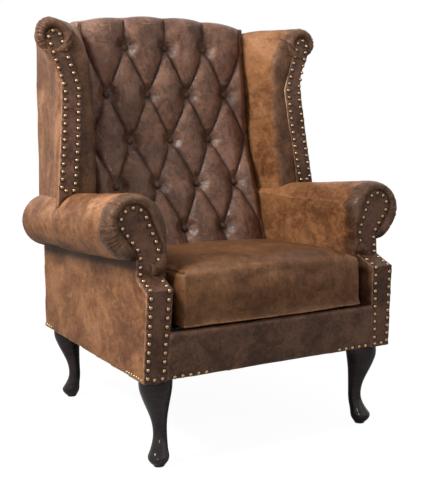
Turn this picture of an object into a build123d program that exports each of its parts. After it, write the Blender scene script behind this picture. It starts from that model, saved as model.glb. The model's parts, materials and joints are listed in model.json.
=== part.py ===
from build123d import *
from math import atan2, ceil, cos, degrees, hypot, radians, sin, sqrt
import os

# A deep-buttoned wing chair. All lengths are in millimetres. The chair faces -Y, up is +Z, and the
# origin is on the floor under the middle of the whole chair. Pieces are made for the right side (+X)
# and mirrored to the left.

# Upholstered base, seen from above a box that narrows towards the rear
base_front_width = 665.0
base_narrowing = 41.0     # how much narrower the base is at its rear
base_depth = 750.0
base_bottom = 204.0
back_top = 1070.0
back_rake = 18.0          # how far the rear face leans back from its foot to its top
side_lean_in = 29.0       # how far each side leans in from the base to the top
cover = 6.0               # a stretched cover with the board or card behind it
hem = 2.0                 # what the covers reach below the wooden frame

# Scrolled arm front, in the front view
facing_thickness = 5.0
shoulder_drop = 25.0      # top of the lower front panel, under the top of the ramp
shoulder_forward = 24.0   # the lower panel leans forward by this much
ramp_drop = 57.0          # top of the ramp, under the middle of the neck
arm_setback = 33.0        # upper arm face, behind the foot of the lower panel
facing_foot_width = 53.5
facing_reach = 64.5       # inner edge of its shoulder, from the foot of the side
neck_drop = 51.0          # middle of the neck, under the middle of the roll
neck_inset = 39.0         # across the chair, from the foot of the side
neck_radius = 29.3
scroll_inset = 5.5        # across the chair, from the foot of the side
scroll_rise = 11.0        # middle of the scroll, over the middle of the roll
scroll_radius = 38.0

# Rolled arm
arm_width = 80.5          # from the foot of the side to the seat
arm_padding = 40.0
roll_height = 540.0
roll_radius = 74.5
roll_flat = 3.0           # how much of its round is pressed flat beside the seat
roll_front_round = 20.0
roll_rear_round = 40.0
crease_drop = 73.0        # where the roll meets the flat outside of the arm, under its middle
arm_fall = 23.0           # how far the arm drops from its front to its rear end

# Hardwood frame
rail_thickness = 25.0
rail_height = 85.0
stump_thickness = 28.0
arm_rail_width = 44.0
arm_rail_height = 28.0
arm_rail_drop = 4.0       # top of the arm rail, under the middle of the roll
arm_rail_lap = 60.0       # how far it runs on beside the back board
board_thickness = 24.0
crest_thickness = 24.0
lower_rail_height = 70.0
lower_rail_thickness = 24.0
corner_block_length = 90.0
corner_block_height = 48.0

# Legs
leg_top_width = 76.0
leg_inset = 50.0          # leg centre from the base's front or rear corner, both ways
glide_thickness = 3.0
glide_radius = 12.0
bolt_radius = 4.0
bolt_length = 70.0
bolt_in_leg = 34.0
# Cabriole leg: share of the leg's height, share of its top width, share of the width it stands outward
leg_shares = (
    (1.0, 1.0, 0.0),
    (0.93, 1.0, 0.025),
    (0.86, 0.965, 0.03),
    (0.78, 0.87, 0.005),
    (0.69, 0.74, -0.04),
    (0.60, 0.61, -0.10),
    (0.51, 0.50, -0.155),
    (0.42, 0.435, -0.19),
    (0.33, 0.42, -0.20),
    (0.25, 0.455, -0.165),
    (0.17, 0.535, -0.09),
    (0.10, 0.64, -0.02),
    (0.06, 0.60, -0.015),
    (0.025, 0.48, -0.02),
    (0.0, 0.36, -0.04),
)

# Seat
deck_top = 306.0
deck_gap = 1.4            # room for the spring clips
spring_wire = 3.8
spring_count = 5
spring_pitch = 48.0
spring_width = 52.0
spring_margin = 12.0      # beside the outermost springs' share of the seat
clip_width = 62.0
clip_length = 20.0
clip_wall = 1.2
border_top = 307.0
border_round = 9.0
cushion_clearance = 0.5
cushion_lift_gap = 0.3
cushion_edge_height = 439.0
cushion_crown = 21.0
cushion_front = 22.0      # how far the cushion stands in front of the foot of the lower panel
cushion_front_bow = 6.0
cushion_draw_in = 2.5      # how far its other sides are drawn in between the corners
cushion_corner_round = 16.0
cushion_round = 13.0
cushion_under_round = 7.0
cushion_rear_gap = 4.0

# Tufted back
fold_y = 160.0            # the third row of buttons, where the back turns upright
fold_z = 727.0
lower_rake = 18.0         # degrees
upper_rake = 3.0
row_pitch = 127.0
button_margin = 12.0      # from the outermost column of the button pattern to the wing
pleat_height = 5.0        # floor of the pleats above the buttons
puff_height = 27.0        # how far the tufts swell over the buttons
pad_depth = 45.0          # padding behind the buttons
button_radius = 10.0
button_height = 5.0
button_clearance = 0.4
button_top_share = 0.65
arch_rise = 21.0          # middle of the arched top over its ends
arch_cap = 22.0           # padding over the crest rail
webbing_width = 50.0
webbing_thickness = 2.0
webbing_pitch = 95.0
webbing_count = 4

# Wings, in front views of their front face and of their rear end
wing_foot_y = 7.0         # front face of the wing at the height of wing_foot_z
wing_foot_gap = 5.0       # from the arm up to the lowest nails of the wing
wing_lean = 3.0           # degrees
wing_start_drop = 20.0    # sections start inside the arm, under the middle of its roll
wing_waist_height = 860.0
wing_turn_height = 925.0
wing_shoulder_height = 1000.0
wing_foot_inset = 55.5    # inner edge at its foot, from the foot of the side
wing_turn_inset = 60.5
wing_shoulder_inset = 26.5
wing_foot_flare = 53.5    # outer edge at its foot, out from the foot of the side
wing_waist_flare = 17.5
wing_inner_bow = 6.0      # swell of the wing's edges between these places
wing_shoulder_bow = 6.0
wing_top_bow = 5.0
wing_outer_bow = 3.0
wing_rear_bow = 1.0
wing_seam_foot_y = 100.0  # where the inside of the wing meets the back
wing_seam_head_y = 160.0
wing_seam_share = 0.35    # of the way from the wing's front to its rear
wing_scroll_flare = 35.5  # middle of the scroll, out from the foot of the side
wing_scroll_z = 993.0
wing_scroll_radius = 42.0
wing_scroll_end = 60.0    # degrees below level, where the scroll stops
wing_under_bow = 13.0
wing_rear_scroll = 13.0
wing_rear_top = 1040.0
wing_front_round = 13.0
wing_corner_round = 24.0  # inner top corner of the wing beside the back
strip_width = 50.0        # nailed strip on the wing's front
strip_scroll_flare = 28.5
strip_scroll_z = 983.0
strip_scroll_radius = 23.0
wing_rail_size = 25.0
wing_rail_top = 992.0
wing_rail_front_inset = 20.5
wing_rail_rear_inset = 61.5

dust_cover_thickness = 1.0
dust_cover_margin = 14.0

# Nail heads
nail_radius = 4.8
nail_height = 2.8
nail_taper = 38.0         # degrees
nail_sides = 6
nail_pitch = 19.5
nail_inset = 8.0
side_nail_pitch = 14.0
side_nail_count = 7
rear_nail_count = 5
border_nail_count = 5
base_nail_height = 7.0    # over the lower edge of the base
walk_steps = 600          # places tried along an edge when nails are spaced on it

far = 4 * base_depth      # reach of the shapes that only cut others

# Places across the chair, from the foot of its side
half_width = base_front_width / 2
base_rear_width = base_front_width - base_narrowing
facing_foot_inner = half_width - facing_foot_width
facing_inner = half_width - facing_reach
neck_centre = half_width - neck_inset
scroll_centre = half_width - scroll_inset
arm_inner = half_width - arm_width
back_half_width = arm_inner
button_pitch = (back_half_width - button_margin) / 2
spring_spacing = 2 * (arm_inner - spring_margin) / spring_count
wing_inner_foot = half_width - wing_foot_inset
wing_inner_turn = half_width - wing_turn_inset
wing_inner_shoulder = half_width - wing_shoulder_inset
wing_outer_foot = half_width + wing_foot_flare
wing_outer_waist = half_width + wing_waist_flare
wing_scroll_x = half_width + wing_scroll_flare
strip_scroll_x = half_width + strip_scroll_flare
wing_rail_front_x = half_width - wing_rail_front_inset
wing_rail_rear_x = half_width - wing_rail_rear_inset

# Heights that follow the rolled arm
scroll_height = roll_height + scroll_rise
neck_height = roll_height - neck_drop
ramp_top = neck_height - ramp_drop
shoulder_height = ramp_top - shoulder_drop
crease_height = roll_height - crease_drop
arm_rail_top = roll_height - arm_rail_drop
wing_start = roll_height - wing_start_drop

# Planes and lines that the pieces share
front_y = -(base_depth + back_rake - shoulder_forward) / 2
side_taper = (base_front_width - base_rear_width) / 2 / base_depth
lean_share = side_lean_in / (back_top - base_bottom)
rake_share = back_rake / (back_top - base_bottom)
fall_share = arm_fall / base_depth
wing_slope = sin(radians(wing_lean)) / cos(radians(wing_lean))
frame_bottom = base_bottom + hem
rail_top = frame_bottom + rail_height
deck_bottom = rail_top + spring_wire + deck_gap
arm_face_y = front_y + arm_setback
stump_front_y = arm_face_y + facing_thickness
stump_rear_y = stump_front_y + stump_thickness
roll_direction = (-side_taper, 1, -fall_share)
wing_foot_z = roll_height + roll_radius - fall_share * (wing_foot_y - stump_front_y) + wing_foot_gap


def side_x(y, z, inset=0.0):
    """Half width of the flat side of the chair at a place along it and a height."""
    return base_front_width / 2 - side_taper * (y - front_y) - lean_share * (z - base_bottom) - inset


def rear_y(z, inset=0.0):
    """Rear face of the chair at a height."""
    return front_y + base_depth + rake_share * (z - base_bottom) - inset


def front_line(back_from_face=0.0, top=back_top):
    """Side view of the arm's front: leaning lower panel, ramp and upright upper face."""
    return [
        (front_y + back_from_face, base_bottom),
        (front_y - shoulder_forward + back_from_face, shoulder_height - back_from_face),
        (arm_face_y + back_from_face, ramp_top - back_from_face),
        (arm_face_y + back_from_face, top),
    ]


def along(points, height):
    """Place on a side view line (y, z) at a height."""
    for (low_y, low_z), (high_y, high_z) in zip(points, points[1:]):
        if height <= high_z:
            break
    return low_y + (high_y - low_y) * (height - low_z) / (high_z - low_z)


def facing_inner_x(z):
    """Inner edge of the lower front panel at a height."""
    share = (z - base_bottom) / (shoulder_height - base_bottom)
    return facing_foot_inner + (facing_inner - facing_foot_inner) * share


def back_corner(corner, rake_below, rake_above, depth):
    """Corner of the back's side view, moved square to the surface towards the rear."""
    mean = radians(rake_below + rake_above) / 2
    half_turn = radians(rake_below - rake_above) / 2
    reach = depth / cos(half_turn)
    return (corner[0] + reach * cos(mean), corner[1] - reach * sin(mean))


def up_slope(start, rake, length):
    """Place at a length up a slope of the back's side view."""
    return (start[0] + length * sin(radians(rake)), start[1] + length * cos(radians(rake)))


def back_line(depth, foot_z):
    """Side view (y, z) of the padded back at a depth behind its buttons, from its foot to its top."""
    low = back_corner(up_slope((fold_y, fold_z), lower_rake, -2 * row_pitch), 0.0, lower_rake, depth)
    fold = back_corner((fold_y, fold_z), lower_rake, upper_rake, depth)
    head = up_slope(fold, upper_rake, (back_top - fold[1]) / cos(radians(upper_rake)))
    return [(low[0], foot_z), low, fold, head]


def side_plane(inset=0.0):
    """The chair's flat right side, or a plane inside it, facing outward."""
    outer = Plane(
        origin=(side_x(front_y, base_bottom), front_y, base_bottom),
        x_dir=(-side_taper, 1, 0),
        z_dir=(1, side_taper, lean_share),
    )
    return outer.offset(-inset)


def section_at(y):
    """Front view plane at a depth: local X across the chair, local Y up, facing the front."""
    return Plane.XZ.offset(-y)


def leaning_plane(foot_y, slope):
    """Front view plane that meets the floor at a depth and leans back as it rises."""
    return Plane(origin=(0, foot_y, 0), x_dir=(1, 0, 0), z_dir=(0, -1, slope))


def across(points):
    """A solid with the given side view (y, z), right across the chair and beyond."""
    with BuildPart() as solid:
        with BuildSketch(Plane.YZ.offset(-base_front_width)):
            with BuildLine():
                Polyline(*points, close=True)
            make_face()
        extrude(amount=2 * base_front_width)
    return solid.part


def between_sides(inset):
    """The space between the chair's two flat sides, or between planes inside them."""
    with BuildPart() as space:
        with BuildSketch(side_plane(inset)):
            Rectangle(far, far)
        extrude(amount=-far)
        mirror(about=Plane.YZ, mode=Mode.INTERSECT)
    return space.part


def side_panel(points, inset, thickness):
    """A board or cover along the right side, from its side view (y, z)."""
    with BuildPart() as panel:
        with BuildSketch(Plane.YZ):
            with BuildLine():
                Polyline(*points, close=True)
            make_face()
        extrude(amount=base_front_width)
        with BuildSketch(side_plane(inset)):
            Rectangle(far, far)
        extrude(amount=-thickness, mode=Mode.INTERSECT)
    return panel.part


def bar(half_width, y, depth, z, height):
    """A box across the chair, from its front face and its lower face."""
    with BuildPart() as box:
        with Locations((0, y, z)):
            Box(2 * half_width, depth, height, align=(Align.CENTER, Align.MIN, Align.MIN))
    return box.part


def save(piece, name):
    piece.label = name
    export_step(piece, f"parts/{name}.step")


def save_pair(piece, name):
    save(mirror(piece, about=Plane.YZ), f"left_{name}")
    save(piece, f"right_{name}")


os.makedirs("parts", exist_ok=True)

# Seat frame: front and rear rails between the sides, and side rails between stumps and rear rail
rear_rail_y = rear_y(frame_bottom, cover) - rail_thickness
front_rail = bar(facing_inner, stump_front_y, rail_thickness, frame_bottom, rail_height)
save(front_rail, "front_rail")

with BuildPart() as rear_rail:
    add(bar(base_front_width, rear_rail_y, rail_thickness, frame_bottom, rail_height))
    add(between_sides(cover), mode=Mode.INTERSECT)
save(rear_rail.part, "rear_rail")

rail_ends = (stump_rear_y, rear_rail_y)
side_rail = side_panel(
    [(y, frame_bottom) for y in rail_ends] + [(y, rail_top) for y in reversed(rail_ends)],
    cover,
    rail_thickness,
)
save_pair(side_rail, "side_rail")

# Glued blocks in the rear corners, bored for the leg bolts
front_leg = (base_front_width / 2 - leg_inset, front_y + leg_inset)
rear_leg = (base_rear_width / 2 - leg_inset, front_y + base_depth - leg_inset)
block_x = side_x(rear_rail_y, frame_bottom, cover + rail_thickness)
with BuildPart() as corner_block:
    with BuildSketch(Plane.XY.offset(frame_bottom)):
        with BuildLine():
            Polyline(
                (block_x, rear_rail_y),
                (block_x - corner_block_length, rear_rail_y),
                (block_x, rear_rail_y - corner_block_length),
                close=True,
            )
        make_face()
        with Locations(rear_leg):
            Circle(bolt_radius, mode=Mode.SUBTRACT)
    extrude(amount=corner_block_height)
    add(side_rail, mode=Mode.SUBTRACT)
left_block = mirror(corner_block.part, about=Plane.YZ)
save(Compound(children=[corner_block.part, left_block]), "corner_blocks")


def arm_front(foot_z, foot_inner, cut=0.0):
    """Front view of the arm front: a strip that narrows upward and ends in a scrolled head."""
    with BuildSketch() as outline:
        with BuildLine():
            CenterArc((scroll_centre, scroll_height), scroll_radius, 0, 360)
            CenterArc((neck_centre, neck_height), neck_radius, 0, 360)
        make_hull()
        with BuildLine():
            Polyline(
                (foot_inner, foot_z),
                (side_x(front_y, foot_z, cut), foot_z),
                (side_x(front_y, shoulder_height, cut), shoulder_height),
                (neck_centre + neck_radius - cut, neck_height),
                (neck_centre - neck_radius, neck_height),
                (facing_inner, shoulder_height),
                close=True,
            )
        make_face()
    return outline.sketch


behind_face = across(front_line() + [(far, back_top), (far, base_bottom)])
behind_facing = across(front_line(facing_thickness) + [(far, back_top), (far, base_bottom)])
reach_y = front_y - shoulder_forward - facing_thickness


def crease_z(y):
    """Height of the crease under the rolled arm."""
    return crease_height - fall_share * (y - arm_face_y)


# Outside arm: a flat cover from the base up into the crease
arm_rear_z = crease_z(rear_y(crease_height)) + roll_rear_round
outside_arm = side_panel(
    front_line(facing_thickness, crease_z(stump_front_y))
    + [(rear_y(arm_rear_z, cover), arm_rear_z), (rear_y(base_bottom, cover), base_bottom)],
    0.0,
    cover,
)

# Arm stump: the front board of the arm, cut to the outline of the scroll, bored for the leg bolt
with BuildPart() as arm_stump:
    with BuildSketch(section_at(stump_front_y)):
        add(arm_front(frame_bottom, facing_inner, cover))
    extrude(amount=-stump_thickness)
    with BuildSketch(Plane.XY.offset(frame_bottom)):
        with Locations(front_leg):
            Circle(bolt_radius)
    extrude(amount=bolt_length - bolt_in_leg, mode=Mode.SUBTRACT)
    add(outside_arm, mode=Mode.SUBTRACT)
save_pair(arm_stump.part, "arm_stump")

with BuildPart() as panel_below_head:
    add(outside_arm)
    add(arm_stump.part, mode=Mode.SUBTRACT)
outside_arm = panel_below_head.part

# Knee block: brings the lower front of the arm forward of the stump
with BuildPart() as knee_block:
    with BuildSketch(section_at(reach_y)):
        add(arm_front(frame_bottom, facing_inner_x(frame_bottom), cover))
    extrude(amount=reach_y - stump_front_y)
    add(behind_facing, mode=Mode.INTERSECT)
    below_ramp = bar(base_front_width, front_y - arm_setback, base_depth, base_bottom, ramp_top - base_bottom)
    add(below_ramp, mode=Mode.INTERSECT)
    add(outside_arm, mode=Mode.SUBTRACT)
save_pair(knee_block.part, "knee_block")

# Arm facing: one nailed panel over the scroll, the ramp and the lower front
with BuildPart() as arm_facing:
    with BuildSketch(section_at(reach_y)):
        add(arm_front(base_bottom, facing_foot_inner))
    extrude(amount=reach_y - stump_front_y)
    add(behind_face, mode=Mode.INTERSECT)
    add(behind_facing, mode=Mode.SUBTRACT)
save_pair(arm_facing.part, "arm_facing")

# Front border: the padded panel under the cushion, between the two facings
with BuildPart() as front_border:
    with BuildSketch(section_at(reach_y)):
        with BuildLine():
            Polyline(
                (-facing_inner_x(frame_bottom), frame_bottom),
                (facing_inner_x(frame_bottom), frame_bottom),
                (facing_inner_x(border_top), border_top),
                (-facing_inner_x(border_top), border_top),
                close=True,
            )
        make_face()
    extrude(amount=reach_y - stump_front_y)
    add(behind_face, mode=Mode.INTERSECT)
    fillet(front_border.edges().group_by(Axis.Z)[-1].sort_by(Axis.Y)[0], border_round)
save(front_border.part, "front_border")

# Side boards of the back, under the crest rail
board_front = back_line(pad_depth + webbing_thickness, rail_top)
behind_pad = across(board_front + [(far, back_top), (far, rail_top)])
arch_radius = (back_half_width**2 + arch_rise**2) / (2 * arch_rise)


def arch_z(x, below=0.0):
    """Height of the arched top of the back, or of a line that runs below it."""
    return back_top - arch_radius + sqrt(arch_radius**2 - x**2) - below


def under_arch(below, half_width=base_front_width / 2):
    """All that lies under the arched top, or under a line below it, from front to rear."""
    end = (half_width, arch_z(half_width, below))
    with BuildPart() as space:
        with BuildSketch(section_at(reach_y)):
            with BuildLine():
                Polyline((-end[0], end[1]), (-end[0], base_bottom), (end[0], base_bottom), end)
                ThreePointArc(end, (0, arch_z(0, below)), (-end[0], end[1]))
            make_face()
        extrude(amount=-far)
    return space.part


with BuildPart() as back_board:
    add(
        side_panel(
            board_front + [(rear_y(back_top, cover), back_top), (rear_y(rail_top, cover), rail_top)],
            cover,
            board_thickness,
        )
    )
    add(under_arch(arch_cap + crest_thickness), mode=Mode.INTERSECT)
save_pair(back_board.part, "back_board")

# Crest rail: an arched board that lies on the two back boards
crest_foot = arch_z(base_front_width / 2, arch_cap + crest_thickness)
crest_line = [(along(board_front, z), z) for z in (crest_foot, back_top)]
crest_line += [(rear_y(z, cover), z) for z in (back_top, crest_foot)]
with BuildPart() as crest_rail:
    add(across(crest_line))
    add(between_sides(cover), mode=Mode.INTERSECT)
    add(under_arch(arch_cap), mode=Mode.INTERSECT)
    add(under_arch(arch_cap + crest_thickness), mode=Mode.SUBTRACT)
save(crest_rail.part, "crest_rail")

# Bottom rail of the back, between the back boards
with BuildPart() as lower_back_rail:
    add(bar(base_front_width, board_front[0][0], lower_rail_thickness, deck_top, lower_rail_height))
    add(between_sides(cover + board_thickness), mode=Mode.INTERSECT)
save(lower_back_rail.part, "lower_back_rail")

# Arm rail: from the stump back, notched round the back board
roll_centre = arm_inner + roll_radius - roll_flat
arm_rail_x = roll_centre - arm_rail_width / 2
rail_run = along(board_front, arm_rail_top) + arm_rail_lap - stump_rear_y
with BuildPart() as arm_rail:
    with BuildSketch(section_at(stump_rear_y)):
        with Locations((arm_rail_x, arm_rail_top)):
            Rectangle(arm_rail_width, arm_rail_height, align=(Align.MIN, Align.MAX))
    extrude(amount=rail_run, dir=roll_direction)
    with BuildPart(mode=Mode.PRIVATE) as back_inside:
        add(behind_pad)
        add(between_sides(cover), mode=Mode.INTERSECT)
    add(back_inside.part, mode=Mode.SUBTRACT)
    add(outside_arm, mode=Mode.SUBTRACT)
save_pair(arm_rail.part, "arm_rail")

# Wings: front views on the leaning front face, at the seam with the back, and at the rear
wing_seam_slope = (wing_seam_head_y - wing_seam_foot_y) / (back_top - wing_foot_z)
wing_planes = (
    (leaning_plane(wing_foot_y - wing_slope * wing_foot_z, wing_slope), wing_slope),
    (leaning_plane(wing_seam_foot_y - wing_seam_slope * wing_foot_z, wing_seam_slope), wing_seam_slope),
    (leaning_plane(rear_y(0.0, cover), rake_share), rake_share),
)
wing_front = wing_planes[0][0]
wing_end_y = rear_y(wing_rear_top, cover)


def mixed(front, rear, share):
    """Numbers part of the way from the front list to the rear list."""
    return [front_value + (rear_value - front_value) * share for front_value, rear_value in zip(front, rear)]


def wing_view(plane, slope, corners, bows):
    """Closed outline through corners (x, z) on a leaning plane, with edges that swell by their bows."""
    stretch = sqrt(1 + slope**2)
    places = [(x, z * stretch) for x, z in corners]
    with BuildSketch(plane) as view:
        with BuildLine():
            for start, end, bow in zip(places, places[1:] + places[:1], bows):
                if bow:
                    SagittaArc(start, end, bow)
                else:
                    Line(start, end)
        make_face()
    return view.sketch


def outer_edge(share, cut):
    """Foot and waist of the wing's outer edge at a share of the way to the rear."""
    front = (wing_outer_foot, wing_outer_waist)
    rear = (side_x(wing_end_y, wing_start), side_x(wing_end_y, wing_waist_height))
    foot_x, waist_x = mixed(front, rear, share)
    return (foot_x - cut, wing_start), (waist_x - cut, wing_waist_height)


scroll_turn = radians(wing_scroll_end)
rear_scroll_x = side_x(wing_end_y, wing_rear_top - wing_rear_scroll)
scroll_rear = (
    (rear_scroll_x - wing_rear_scroll, wing_rear_top),
    (rear_scroll_x, wing_rear_top - wing_rear_scroll),
)


def scroll_ends(share, inset=0.0):
    """Top and under end of the wing's scroll at a share of the way to the rear."""
    radius = wing_scroll_radius - inset
    top = (wing_scroll_x, wing_scroll_z + radius)
    under = (wing_scroll_x + radius * cos(scroll_turn), wing_scroll_z - radius * sin(scroll_turn))
    return [tuple(mixed(front, rear, share)) for front, rear in zip((top, under), scroll_rear)]


def outer_bows(share, inset=0.0):
    """Swell of the scroll, of the hollow under it and of the outer edge down to the arm."""
    front_scroll = (wing_scroll_radius - inset) * (1 - cos((scroll_turn + radians(90)) / 2))
    rear_scroll = wing_rear_scroll * (1 - cos(radians(45)))
    front = (front_scroll, -wing_under_bow, -wing_outer_bow)
    return mixed(front, (rear_scroll, -wing_rear_bow, -wing_rear_bow), share)


def wing_corners(share, inset=0.0):
    """Corners and bows of the wing's front view at a share of the way to the rear."""
    foot, waist = outer_edge(share, 0.0)
    top, under = scroll_ends(share, inset)
    corner = wing_corner_round * (1 - cos(radians(45)))
    inner = [(arm_inner, wing_start), (arm_inner, top[1] - wing_corner_round)]
    inner += [(arm_inner + corner, top[1] - corner)]
    bows = [0, 0, corner / 4, corner / 4]
    if not share:
        slant = inset * cos(radians(45))
        inner = [(wing_inner_foot + inset, wing_start), (wing_inner_turn + inset, wing_turn_height)]
        inner += [(wing_inner_shoulder + slant, wing_shoulder_height - slant)]
        bows = [0, wing_inner_bow, wing_shoulder_bow, wing_top_bow]
    return [foot] + inner + [top, under, waist], bows + outer_bows(share, inset)


def core_corners(share, inset=0.0):
    """A larger outline that stops short of the wing's flat outer cover."""
    foot, waist = outer_edge(share, cover)
    under = scroll_ends(share)[1]
    wide = base_front_width
    corners = [foot, (0, wing_start), (0, back_top), (wide, back_top), (wide, under[1])]
    return corners + [(under[0] - cover, under[1]), waist], [0, 0, 0, 0, 0] + outer_bows(share)[1:]


def wing_loft(corners_at):
    """Sections of the wing from its rounded front edge to the rear."""
    stations = [
        (0, 0.0, wing_front_round),
        (0, wing_front_round / 4, wing_front_round / 4),
        (0, wing_front_round, 0.0),
        (wing_seam_share, 0.0, 0.0),
        (1, 0.0, 0.0),
    ]
    sections = []
    for share, behind, inset in stations:
        plane, slope = wing_planes[0 if not share else 2 if share == 1 else 1]
        shift = behind + (0.0 if share else facing_thickness)
        sections.append(wing_view(plane.offset(-shift), slope, *corners_at(share, inset)))
    return sections


with BuildPart() as wing_body:
    loft(sections=wing_loft(wing_corners), ruled=True)
with BuildPart() as wing_core:
    loft(sections=wing_loft(core_corners), ruled=True)


def wing_strip(foot_z, cut=0.0):
    """Front view of the nailed strip on the wing, or of the post behind it."""
    width = strip_width - cut
    outer = [(x - cut, z) for x, z in outer_edge(0, 0.0)]
    inner = [(x - width, z) for x, z in outer]
    spread = (outer[0][0] - outer[1][0]) / (outer[1][1] - wing_start)
    outer_foot = (outer[0][0] + spread * (wing_start - foot_z), foot_z)
    with BuildSketch(wing_front) as strip:
        with BuildLine():
            CenterArc((strip_scroll_x, strip_scroll_z), strip_scroll_radius - cut / 2, 0, 360)
            CenterArc((outer[1][0] - width / 2, wing_waist_height), width / 2, 0, 360)
        make_hull()
        with BuildLine():
            SagittaArc(outer[1], outer_foot, -wing_outer_bow)
            Line(outer_foot, (outer_foot[0] - width, foot_z))
            SagittaArc((outer_foot[0] - width, foot_z), inner[1], wing_outer_bow)
            Line(inner[1], outer[1])
        make_face()
    return strip.sketch


# Everything behind the padded back, inside the chair's sides and under the padding of its top
with BuildPart() as back_space:
    add(across(back_line(pad_depth, 0.0) + [(far, back_top), (far, 0.0)]))
    add(between_sides(cover), mode=Mode.INTERSECT)
    add(under_arch(arch_cap), mode=Mode.INTERSECT)

with BuildPart() as wing_cover:
    add(wing_body.part)
    add(wing_core.part, mode=Mode.SUBTRACT)
    add(back_space.part, mode=Mode.SUBTRACT)

# Wing post on the arm rail, and the top rail from it to the back board
post_depth = facing_thickness + rail_thickness
post_foot = arm_rail_top - fall_share * (wing_foot_y + post_depth - stump_rear_y)
with BuildPart() as wing_post:
    with BuildSketch(wing_front.offset(-facing_thickness)):
        add(wing_strip(post_foot, 2 * cover))
    extrude(amount=-rail_thickness)
    add(wing_core.part, mode=Mode.INTERSECT)
    add(arm_rail.part, mode=Mode.SUBTRACT)
save_pair(wing_post.part, "wing_post")

rail_turn = (wing_rail_rear_x - wing_rail_front_x) / (along(board_front, wing_rail_top) - wing_foot_y)
with BuildPart() as wing_rail:
    with BuildSketch(wing_front.offset(-post_depth)):
        with Locations((wing_rail_front_x, wing_rail_top)):
            Rectangle(wing_rail_size, wing_rail_size, align=(Align.CENTER, Align.MAX))
    extrude(amount=base_depth / 2, dir=(rail_turn, 1, 0))
    add(behind_pad, mode=Mode.SUBTRACT)
save_pair(wing_rail.part, "wing_rail")

# Rolled arm with the padded inside of the arm, round the frame
with BuildPart() as inside_arm:
    add(
        across(
            [(along(front_line(facing_thickness), border_top), border_top)]
            + front_line(facing_thickness, roll_height)[1:]
            + [(fold_y, roll_height), (fold_y, rail_top)]
            + [(stump_front_y, rail_top), (stump_front_y, border_top)]
        )
    )
    with Locations((arm_inner + arm_padding / 2, 0.0, 0.0)):
        Box(arm_padding, far, far, mode=Mode.INTERSECT)

with BuildPart() as arm_pad:
    with BuildSketch(Plane(origin=(roll_centre, stump_front_y, roll_height), z_dir=roll_direction)):
        Circle(roll_radius)
    extrude(amount=far, both=True)
    roll_end = [(rear_y(back_top), back_top), (rear_y(0.0), 0.0)]
    add(across([(stump_front_y, 0.0), (stump_front_y, back_top)] + roll_end), mode=Mode.INTERSECT)
    fillet(arm_pad.edges().sort_by(Axis.Y)[0], roll_front_round)
    fillet(arm_pad.edges().sort_by(Axis.Y)[-1], roll_rear_round)
    add(inside_arm.part)
    with Locations((arm_inner + far / 2, 0.0, 0.0)):
        Box(far, far, far, mode=Mode.INTERSECT)
    boards_end = [(rear_y(back_top, cover), back_top), (rear_y(0.0, cover), 0.0)]
    add(across(boards_end + [(far, 0.0), (far, back_top)]), mode=Mode.SUBTRACT)
    for piece in (arm_stump, knee_block, arm_rail, wing_post, back_space):
        add(piece.part, mode=Mode.SUBTRACT)
    add(outside_arm, mode=Mode.SUBTRACT)
save_pair(arm_pad.part, "arm_pad")
save_pair(outside_arm, "outside_arm")

with BuildPart() as wing_pad:
    add(wing_body.part)
    add(wing_core.part, mode=Mode.INTERSECT)
    for piece in (arm_pad.part, arm_rail.part, wing_post.part, wing_rail.part, back_space.part):
        add(piece, mode=Mode.SUBTRACT)
save_pair(wing_pad.part, "wing_pad")

with BuildPart() as outside_wing:
    add(wing_cover.part)
    add(arm_pad.part, mode=Mode.SUBTRACT)
    add(arm_rail.part, mode=Mode.SUBTRACT)
save_pair(outside_wing.part, "outside_wing")

with BuildPart() as wing_facing:
    with BuildSketch(wing_front):
        add(wing_strip(wing_start))
        add(wing_view(wing_front, wing_slope, *wing_corners(0)), mode=Mode.INTERSECT)
    extrude(amount=-facing_thickness)
    add(arm_pad.part, mode=Mode.SUBTRACT)
    add(arm_rail.part, mode=Mode.SUBTRACT)
save_pair(wing_facing.part, "wing_facing")

# Tufted back: pleats run along the diagonals from button to button, and the padding swells between
pleat_angle = degrees(atan2(row_pitch, button_pitch / 2))
pleat_spacing = button_pitch * row_pitch / hypot(row_pitch, button_pitch / 2)
half_pleats = ceil(hypot(back_half_width, back_top - fold_z) / pleat_spacing)
pleat_reach = half_pleats * pleat_spacing


def back_plane(rake):
    """Plane of the buttons on a part of the back: local X across, local Y up the slope."""
    lean = radians(rake)
    return Plane(origin=(0, fold_y, fold_z), x_dir=(1, 0, 0), z_dir=(0, -cos(lean), sin(lean)))


def swelling(plane, turn):
    """Padding whose front swells between pleats that all run at one angle on the back."""
    run = plane.x_dir * cos(radians(turn)) + plane.y_dir * sin(radians(turn))
    start = plane.origin - run * back_top
    with BuildPart() as padding:
        with BuildSketch(Plane(origin=start, x_dir=run.cross(plane.z_dir), z_dir=run)):
            with BuildLine():
                Polyline(
                    (pleat_reach, -pleat_height),
                    (pleat_reach, back_top),
                    (-pleat_reach, back_top),
                    (-pleat_reach, -pleat_height),
                )
                for step in range(-half_pleats, half_pleats):
                    ThreePointArc(
                        (step * pleat_spacing, -pleat_height),
                        ((step + 1 / 2) * pleat_spacing, -puff_height),
                        ((step + 1) * pleat_spacing, -pleat_height),
                    )
            make_face()
        extrude(amount=2 * back_top)
    return padding.part


pad_front = back_line(-2 * puff_height, deck_top)
pad_rear = back_line(pad_depth, deck_top)


def tufted(rake, foot):
    """One leaning part of the tufted back, between two bends of its side view."""
    with BuildPart() as part:
        add(swelling(back_plane(rake), pleat_angle))
        add(swelling(back_plane(rake), -pleat_angle), mode=Mode.INTERSECT)
        outline = [pad_front[foot], pad_rear[foot], pad_rear[foot + 1], pad_front[foot + 1]]
        add(across(outline), mode=Mode.INTERSECT)
    return part.part


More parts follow.
